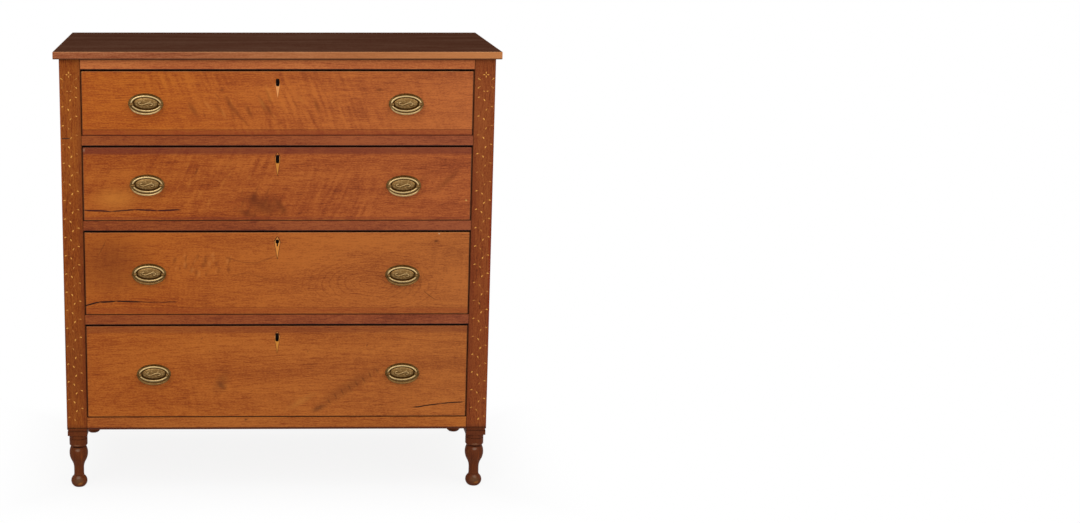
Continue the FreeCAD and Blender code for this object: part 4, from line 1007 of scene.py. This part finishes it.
# Cherry, turned below and planed above: straight fibres up the post, and dark feet that brooms have scuffed
# pale, with painted highlights and shade on the turnings.
LEFT_POST = Board(
    "CherryPostLeft", "#5E270E", "#863F17", "#A05821", Grain.ALONG_Z,
    heart=(0.2, 0.3, 0.5), foot="#552A18", foot_share=0.75, specular=0.05,
    marks=(
        *crack(((-517, 881.7), (-499, 881.7)), 1.6, tint="#3A2822", strength=0.85),
        # painted highlight down the post's outer edge
        Mark(-518.5, 850, 250, 1.8, 90, "#C8682E", 0.6),
        Mark(-519, 400, 260, 1.6, 90, "#3A0E06", 0.7),
        Mark(-472, 600, 900, 16, 90, "#642818", 0.45),
        Mark(-495, 300, 60, 190, 0, "#70361A", 0.4),
        # painted shade beside the gap to the drawers
        upright_line(-470, 2, PAINTED_SHADE, 0.6),
        *FOOT_RINGS,
        # pale wear, with painted highlights and shade on the foot
        *foot_wear_and_painted_light(-495),
    ),
)
RIGHT_POST = Board(
    "CherryPostRight", "#5A2714", "#843F1E", "#985329", Grain.ALONG_Z, cut_at=(0.4, 0.2, 0.9),
    heart=(0.8, 0.3, 0.5), foot="#552A18", foot_share=0.75, specular=0.05,
    marks=(
        Mark(518, 600, 420, 5, 90, "#7A2410", 0.7),
        Mark(473, 600, 900, 14, 90, "#642818", 0.35),
        # painted shade beside the gap to the drawers
        upright_line(470, 2, PAINTED_SHADE, 0.6),
        *FOOT_RINGS,
        # pale wear, with painted highlights and shade on the foot
        *foot_wear_and_painted_light(495),
    ),
)

# Cherry rails, planed and waxed, redder and darker than the fronts, with painted light towards the right and
# painted shade along the gaps between.
RAIL_WOOD = Board(
    "CherryRail", "#5C2511", "#823B1A", "#9E5325", cut_at=(0.5, 0.1, 2.0),
    drift=1.2, fibre=1.0, right_light="#7A4232", right_light_share=0.35,
    marks=tuple(level_line(z, 2.8, GAP_SHADE, 1) for z in (863, 655, 421)),
)
TOP_RAIL_WOOD = Board(
    "CherryTopRail", "#893D1E", "#AE5C30", "#C9763E", cut_at=(0.9, 0.1, 2.5),
    # painted shadow under the top's overhang, and painted shade in the gap above the top drawer
    marks=(level_line(1071.5, 3, PAINTED_SHADE, 0.7), level_line(1046, 2.8, GAP_SHADE, 1)),
)
BOTTOM_RAIL_WOOD = Board(
    # dust and painted shade on its upper face
    "CherryBottomRail", "#74300F", "#9C501E", "#B86A2B", cut_at=(1.9, 0.1, 3.0), top_face=DUST_AND_GAP_SHADE,
    drift=1.2, fibre=1.0,
    marks=(
        Mark(-77, 179, 8, 4, 10, "#4A1E0C", 0.7),
        # painted shade under the rail's bead
        level_line(156, 4.5, "#43201C", 0.85),
    ),
)

# Cherry top, planed and waxed: grey brown above, where painted shade darkens the upper face; its front edge
# lighter towards the right with painted light, and pale along its edges with wear and a painted highlight.
TOP_WOOD = Board(
    "CherryTop", "#6B2F18", "#904C2B", "#AC6A43", cut_at=(0.2, 0.5, 1.1), heart=(0.1, 0.1, 1.3),
    top_face="#8B9DC0", top_share=1, top_kind=Blend.DARKEN,
    right_light="#C47F48", right_light_share=0.75, right_light_kind=Blend.COVER, arris="#CC9260", arris_share=0.95,
    # painted shadow along the lower edge of the top's front
    marks=(level_line(1072.5, 2.6, PAINTED_SHADE, 0.85),),
)

# Cherry panels, flat-sawn and waxed: tall arches of rings.
PANEL_WOOD = Board(
    "CherryPanel", "#672C11", "#904A24", "#AB6333", Grain.ALONG_Z, cut_at=(0.1, 0.7, 0.2), ring=0.2,
    heart=(0.5, 0.05, 0.3), ring_gap=14, ring_stretch=11,
)

# White pine, planed and left bare: honey coloured and dull, with wide rings.
PINE = Board(
    "AgedPine", "#90643A", "#BC8C58", "#D8B280", cut_at=(0.4, 0.2, 0.6), fibre=0.4, ring=0.35, ring_gap=8,
    heart=(0.1, 0.1, 0.8), pore=0, roughness=0.7, specular=0.1, each_differs=5,
)
SIDE_PINE = replace(PINE, name="AgedPineSides", grain=Grain.ALONG_Y)

# White pine, rough-planed and never finished: brown grey from dust and dry air.
BACK_PINE = Board(
    "WeatheredPineBack", "#5C3A24", "#8C6142", "#AA7F5A", cut_at=(0.8, 0.2, 0.1), fibre=0.4, ring=0.35,
    ring_gap=9, heart=(0.1, 0.3, 0.5), pore=0, roughness=0.75, specular=0.08, planks=BACK_PLANKS,
    marks=tuple(level_line(BACK_PLANKS[0] + BACK_PLANKS[1] * i, 2, "#140C08", 1) for i in (1, 2, 3)),
)

# Holly, let in and scraped flush: golden under old wax, against the red of the posts.
HOLLY = VineInlay("HollyVine")

# Satinwood, let in and scraped flush: pale orange, with fibres up the kite.
KITE_1 = Kite(
    "SatinwoodKite1", "#D08648", "#F0A462", "#A85820", glue="#A6541E", glue_line=1.6, hole=(1015.7, 8.9, 4.4)
)
KITE_2 = Kite("SatinwoodKite2", "#BC7028", "#DE9440", "#C67636", glue_line=1.4, hole=(831.2, 10.2, 4.4))
KITE_3 = Kite(
    "SatinwoodKite3", "#C8782E", "#EA9A48", "#D88C40", glue="#30100A", glue_line=1.6, hole=(629.0, 4.6, 4.2)
)
KITE_4 = Kite(
    "SatinwoodKite4", "#BC7228", "#E09840", "#CC8444", glue="#7A3E18", glue_line=1.7, hole=(388.9, 10.4, 4.4)
)

# Brass sheet, stamped: bead and scroll rubbed bright over brown hollows, with painted shade beside the
# scroll and on the rim's upper half.
PLATE_BRASS = Brass("StampedBrass")
# Brass, cast and filed: posts dull where no hand reaches, upper bails rubbed bright in the
# middle, lower ones brown.
POST_BRASS = Brass("DulledBrassPosts", polish=0.36)
RUBBED_BRASS = Brass("RubbedBrassBail", polish=0.7, dull_ends=0.45)
DULL_BRASS = Brass("BrownedBrassBail", polish=0.42, dull_ends=0.25)
# Iron, forged: next to black, with dull brown rust.
LOCK_IRON = Iron("WroughtIron")


# ---------------------------------------------------------------- pulls


def scroll_line(half_width: float, turns: float, heading: float = 0.6, steps: int = 70) -> np.ndarray:
    """Draws an S scroll whose ends curl up evenly.

    Args:
        half_width: Half its width.
        turns: How far each end curls, in full turns.
        heading: Where it heads in the middle, in radians from level.
        steps: How many points it has.

    Returns:
        Its points, x and z, about its middle.
    """
    curled = heading - math.tau * turns * np.linspace(-1, 1, steps) ** 2
    line = np.cumsum(np.stack([np.cos(curled), np.sin(curled)], 1), 0)
    line -= line[steps // 2]
    return line * half_width / np.abs(line[:, 0]).max()


@dataclass(frozen=True)
class PlateStation:
    """One oval of the plate's section: its half sizes, height, polish and lift, in mm."""

    half_width: float
    half_height: float
    height: float
    polish: float
    lift: float = 0.0


@dataclass
class Pull:
    """A stamped oval plate with a scroll in relief, behind a cast bail.  Sizes are in mm."""

    half_width: float = 42.0
    half_height: float = 24.5
    sheet: float = 0.9
    around: int = 144
    dome: tuple[float, float] = (28.0, 12.7)
    dome_steps: int = 26
    dome_lift: float = 0.9
    dome_rise: float = 2.5
    dome_polish: float = 0.47
    bead: tuple[float, float] = (35.0, 17.8)
    bead_steps: int = 12
    bead_half: float = 2.4
    bead_rise: float = 1.6
    scroll_half: float = 17.5
    scroll_turns: float = 0.66
    scroll_squash: float = 0.62
    ridge: float = 0.9
    ridge_half: float = 1.5
    ridge_polish: float = 0.14
    # painted shade beside the scroll's ridge: its half width, and how much it lowers the polish
    shade_band_half: float = 3.0
    shade_band_darkening: float = 0.55
    leaves: tuple[tuple[float, float, float, float], ...] = (
        (9, 4.6, 35, 3.2), (3.5, -5.6, -20, 2.8), (20, -3, 0, 2.2), (22, 3.5, 0, 1.8),
    )  # x, z, lean and half length; each has a twin on the other side of the middle
    leaf_rise: float = 0.6
    relief_to: float = 0.93  # as a share of the dome
    rim_from: float = 1.1  # as a share of the bead's oval
    rim_shade: float = 0.3  # painted shade: the upper half of the rim is darker
    pin_above_middle: float = -1.0

    def stations(self) -> list[PlateStation]:
        """Lists the section's ovals from the middle of the dome out to the rim and back.

        Returns:
            The ovals.
        """
        (dome_x, dome_z), (bead_x, bead_z), flat, lift = self.dome, self.bead, self.sheet, self.dome_lift
        found = []
        for i in range(1, self.dome_steps + 1):
            share = i / self.dome_steps
            height = flat + self.dome_rise * math.sqrt(1 - share**2 * 0.98)
            found.append(PlateStation(dome_x * share, dome_z * share, height, self.dome_polish, lift))
        found.append(PlateStation(dome_x + 0.4, dome_z + 0.4, flat, 0, lift))
        found.append(PlateStation(bead_x - 3.2, bead_z - 3, flat - 0.05, 0.02, lift / 4))
        for i in range(self.bead_steps + 1):
            angle = math.pi * i / self.bead_steps
            out = -math.cos(angle) * self.bead_half
            height = flat + self.bead_rise * math.sin(angle)
            polish = 0.15 + 0.85 * math.sin(angle) ** 2
            found.append(PlateStation(bead_x + out, bead_z + out, height, polish))
        rim = ((2.6, flat + 0.05, 0.4), (0.3, flat - 0.2, 0.35), (0, flat / 2, 0.2), (0, 0, 0.1))
        for inset, height, polish in rim:  # rolled over at the edge
            found.append(PlateStation(self.half_width - inset, self.half_height - inset, height, polish))
        return found

    def relief(self, x: np.ndarray, z: np.ndarray) -> tuple[np.ndarray, np.ndarray]:
        """Works out how much of the scroll's ridge and leaves, and of the painted shade beside the scroll,
        there is at each point.

        Args:
            x: Places across the plate in mm.
            z: Places up the plate in mm.

        Returns:
            The relief, from 0, bare dome, to 1, the top of a ridge, and how much painted shade lies beside
            the scroll's ridge, from 0 to 1.
        """
        line = scroll_line(self.scroll_half, self.scroll_turns) * (1, self.scroll_squash)
        near = np.min(np.hypot(x[:, None] - line[:, 0], z[:, None] - line[:, 1]), 1)
        ridge = np.clip(1 - (near / self.ridge_half) ** 2, 0, 1)
        for leaf_x, leaf_z, lean, half in self.leaves:
            c, s = math.cos(math.radians(lean)), math.sin(math.radians(lean))
            for side in (1, -1):
                dx, dz = x - side * leaf_x, z - side * leaf_z
                along, across = dx * c + dz * s, dz * c - dx * s
                leaf = 1 - (along / half) ** 2 - (across / half * 2) ** 2
                ridge = np.maximum(ridge, np.clip(leaf, 0, self.leaf_rise))
        middle = (self.ridge_half + self.shade_band_half) / 2
        shade_band = np.clip(1 - np.abs(near - middle) / (self.shade_band_half - middle), 0, 1)
        return ridge, shade_band * (1 - ridge)

    def mesh(self) -> bpy.types.Mesh:
        """Builds the plate about zero, its back on y 0 and its face towards -Y.

        Returns:
            The mesh, with the polish of each point, lowered where shade is painted beside the scroll and on
            the rim's upper half.
        """
        rings = self.stations()
        angles = np.linspace(0, math.tau, self.around, endpoint=False)
        points = [np.array([[0.0, -self.sheet - self.dome_rise, self.dome_lift]])]
        polish = [np.array([self.dome_polish])]
        for ring in rings:
            x = ring.half_width * np.cos(angles)
            z = ring.half_height * np.sin(angles) + ring.lift
            points.append(np.stack([x, np.full_like(x, -ring.height), z], 1))
            polish.append(np.full_like(x, ring.polish))
        co = np.concatenate(points)
        x, z = co[:, 0], co[:, 2]
        on_dome = np.hypot(x / self.dome[0], z / self.dome[1]) < self.relief_to
        on_rim = np.hypot(x / self.bead[0], z / self.bead[1]) > self.rim_from
        raised, shaded = self.relief(x, z)
        co[:, 1] -= raised * on_dome * self.ridge
        shine = np.concatenate(polish)
        # painted shade beside the scroll's ridge lowers the polish
        shine += (raised * self.ridge_polish - shaded * self.shade_band_darkening) * on_dome
        # painted shade on the upper half of the rim
        shine -= on_rim * np.clip(z / self.half_height, 0, 1) * self.rim_shade
        faces = [(0, 1 + (i + 1) % self.around, 1 + i) for i in range(self.around)]
        for ring in range(len(rings) - 1):
            start = 1 + ring * self.around
            for i in range(self.around):
                j = (i + 1) % self.around
                faces.append((start + i, start + j, start + self.around + j, start + self.around + i))
        last = 1 + (len(rings) - 1) * self.around
        faces.append(tuple(last + i for i in range(self.around)))
        mesh = bpy.data.meshes.new("stamped_plate")
        mesh.from_pydata((co * MM).tolist(), [], faces)
        mesh.attributes.new("polish", "FLOAT", "POINT").data.foreach_set("value", shine.astype(np.float32))
        mesh.polygons.foreach_set("use_smooth", [True] * len(mesh.polygons))
        mesh.materials.append(PLATE_BRASS.material())
        mesh.update()
        return mesh


# ---------------------------------------------------------------- sub-assemblies


@dataclass
class Case:
    """The case: posts, rails, panels, top, back and what holds the drawers."""

    posts: tuple[Board, Board] = (LEFT_POST, RIGHT_POST)

    def dress(self) -> None:
        """Gives every piece of the case its finish."""
        finishes = {
            "top_board": TOP_WOOD,
            "top_rail": TOP_RAIL_WOOD,
            "divider_rails": RAIL_WOOD,
            "bottom_rail": BOTTOM_RAIL_WOOD,
            "back_boards": BACK_PINE,
            "rear_rails": PINE,
            "runners_and_guides": SIDE_PINE,
            "top_kickers": SIDE_PINE,
            "vine_inlay": HOLLY,
            "case_fasteners": LOCK_IRON,
        }
        for side, post in zip(SIDES, self.posts):
            finishes[f"{side}_front_post"] = post
            finishes[f"{side}_rear_post"] = post
            finishes[f"{side}_side_panel"] = PANEL_WOOD
        for node, finish in finishes.items():
            wear(node, finish)


@dataclass
class Drawer:
    """One drawer with its front, box, lock, escutcheon and two pulls."""

    number: int
    front: Board
    kite: Kite
    bail: Brass
    tilts: tuple[float, float]  # how many degrees the left and right plate hang askew

    @property
    def name(self) -> str:
        """The drawer's body, and how the names of its nodes start."""
        return f"drawer_{self.number}"

    def dress(self) -> None:
        """Gives the drawer's pieces their finishes."""
        finishes = {
            "front": self.front,
            "escutcheon": self.kite,
            "left_bail": self.bail,
            "right_bail": self.bail,
            "sides": SIDE_PINE,
            "back": PINE,
            "bottom": PINE,
            "lock": LOCK_IRON,
            "lock_bolt": LOCK_IRON,
            "pull_posts": POST_BRASS,
        }
        for ending, finish in finishes.items():
            wear(f"{self.name}_{ending}", finish)

    def hang_plates(self, mesh: bpy.types.Mesh) -> None:
        """Puts the two stamped plates where the bails hang.

        Args:
            mesh: The plate about zero.
        """
        low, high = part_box(f"{self.name}_pull_plates")
        hinges = {j["child"]: Vector(j["pos_m"]) for j in frame["joints"] if j["type"] == "hinge"}
        ends = {"left": low.x + Pull.half_width * MM, "right": high.x - Pull.half_width * MM}
        for side, tilt in zip(SIDES, self.tilts):
            pin = hinges[f"{self.name}_{side}_bail"]
            plate = bpy.data.objects.new(f"{self.name}_{side}_stamped_plate", mesh)
            bpy.context.scene.collection.objects.link(plate)
            plate.location = (ends[side], high.y, pin.z - Pull.pin_above_middle * MM)
            plate.rotation_euler.y = math.radians(tilt)
            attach(plate, self.name)
            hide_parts(f"{self.name}_pull_plates")
            log.info("%s: %s", plate.name, PLATE_BRASS.name)


# ---------------------------------------------------------------- studio


def backdrop_rays(tree: Tree) -> Node:
    """Tells camera, mirror and glass rays, which see the white backdrop, from the others.

    Args:
        tree: The node tree of what they meet.

    Returns:
        1 for such a ray, 0 for another.
    """
    path = add(tree, "LightPath").outputs
    seen = add(tree, "Math", {0: path["Is Camera Ray"], 1: path["Is Glossy Ray"]}, operation="MAXIMUM")
    return add(tree, "Math", {0: seen, 1: path["Is Transmission Ray"]}, operation="MAXIMUM")


@dataclass(frozen=True)
class Lamp:
    """A soft square lamp that faces the chest: its place and size in metres, and its watts."""

    name: str
    at: tuple[float, float, float]
    size: float
    watts: float

    def hang(self, aim: tuple[float, float, float]) -> None:
        """Hangs the lamp.

        Args:
            aim: The point that it faces, in metres.
        """
        data = bpy.data.lights.new(self.name, "AREA")
        data.size = self.size
        data.energy = self.watts
        lamp = bpy.data.objects.new(self.name, data)
        bpy.context.scene.collection.objects.link(lamp)
        lamp.location = self.at
        lamp.rotation_euler = (Vector(aim) - Vector(self.at)).to_track_quat("-Z", "Y").to_euler()


@dataclass
class Studio:
    """A pale floor, soft lamps all round, and the camera, in metres and degrees."""

    camera_at: tuple[float, float, float] = (-0.082, -4.590, 1.517)
    pitch: float = 12.18
    yaw: float = 0.83
    roll: float = -0.08
    lens: float = 60.87  # mm
    shift: float = 0.25  # as a share of the frame's width
    ambient: float = 0.42
    floor_half: float = 14.0
    floor_grey: str = "#E1E1E1"
    shade_half: tuple[float, float] = (0.5, 0.22)  # the chest's own half sizes
    shade: float = 0.88
    shade_fade: tuple[float, float] = (-0.1, 0.3)  # from the chest's sides outwards
    lamps: tuple[Lamp, ...] = (
        Lamp("KeyLamp", (-1.7, -3.6, 3.2), 2.4, 62),
        Lamp("FillLamp", (2.8, -3.4, 1.9), 2.4, 38),
        Lamp("TopLamp", (0.2, -0.9, 3.6), 2.2, 26),
    )
    aim: tuple[float, float, float] = (0, -0.1, 0.6)

    def build(self) -> None:
        """Builds the whole studio."""
        self.set_camera()
        self.set_world()
        self.lay_floor()
        for lamp in self.lamps:
            lamp.hang(self.aim)
        bpy.context.scene.view_settings.view_transform = "Standard"

    def set_camera(self) -> None:
        """Stands the camera in front of the chest, a little above its top."""
        data = bpy.data.cameras.new("Camera")
        data.lens = self.lens
        data.sensor_width = 36  # mm, which the lens is given for
        data.shift_x = self.shift
        camera = bpy.data.objects.new("Camera", data)
        bpy.context.scene.collection.objects.link(camera)
        camera.location = self.camera_at
        turn = (90 - self.pitch, self.roll, -self.yaw)
        camera.rotation_euler = Euler([math.radians(angle) for angle in turn])
        bpy.context.scene.camera = camera

    def set_world(self) -> None:
        """Lights the room evenly, before a white backdrop."""
        world = bpy.data.worlds.new("PaleRoom")
        bpy.context.scene.world = world
        world.use_nodes = True
        tree = world.node_tree
        tree.nodes.clear()
        white = {"Color": linear("#FFFFFF")}
        room = add(tree, "Background", {**white, "Strength": self.ambient})
        backdrop = add(tree, "Background", {**white, "Strength": 1})
        mixed = add(tree, "MixShader", {0: backdrop_rays(tree), 1: room, 2: backdrop})
        add(tree, "OutputWorld", {"Surface": mixed})

    def lay_floor(self) -> None:
        """Lays a pale floor that keeps a soft shadow under the chest."""
        half = self.floor_half
        corners = [(-half, -half, 0), (half, -half, 0), (half, half, 0), (-half, half, 0)]
        mesh = bpy.data.meshes.new("floor")
        mesh.from_pydata(corners, [], [(0, 1, 2, 3)])
        floor = bpy.data.objects.new("floor", mesh)
        bpy.context.scene.collection.objects.link(floor)
        made = blank_material("PaleFloor")
        tree = made.node_tree
        place = add(tree, "TexCoord").outputs["Object"]
        size = add(tree, "VectorMath", {0: place}, operation="ABSOLUTE")
        beyond = add(tree, "VectorMath", {0: size, 1: (*self.shade_half, 0)}, operation="SUBTRACT")
        parts = add(tree, "SeparateXYZ", {0: beyond}).outputs
        far = add(tree, "Math", {0: parts[0], 1: parts[1]}, operation="MAXIMUM")
        near, clear = self.shade_fade
        limits = {"From Min": near, "From Max": clear, "To Min": self.shade}
        white = add(tree, "MapRange", {"Value": far, **limits}, interpolation_type="SMOOTHSTEP")
        share = add(tree, "Math", {0: backdrop_rays(tree), 1: white}, operation="MULTIPLY")
        paint = add(tree, "BsdfDiffuse", {"Color": linear(self.floor_grey)})
        glow = add(tree, "Emission", {"Color": linear("#FFFFFF"), "Strength": 1})
        mixed = add(tree, "MixShader", {0: share, 1: paint, 2: glow})
        add(tree, "OutputMaterial", {"Surface": mixed})
        mesh.materials.append(made)


def main() -> None:
    """Builds the studio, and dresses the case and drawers."""
    logging.basicConfig(level=logging.INFO, format="%(name)s: %(message)s")
    Studio().build()
    Case().dress()
    plate = Pull().mesh()
    drawers = (
        Drawer(1, DRAWER_1, KITE_1, RUBBED_BRASS, (2.8, 0)),
        Drawer(2, DRAWER_2, KITE_2, RUBBED_BRASS, (1, -1)),
        Drawer(3, DRAWER_3, KITE_3, DULL_BRASS, (0, 1)),
        Drawer(4, DRAWER_4, KITE_4, DULL_BRASS, (-1, 0)),
    )
    for drawer in drawers:
        drawer.dress()
        drawer.hang_plates(plate)


if __name__ == "__main__":
    main()
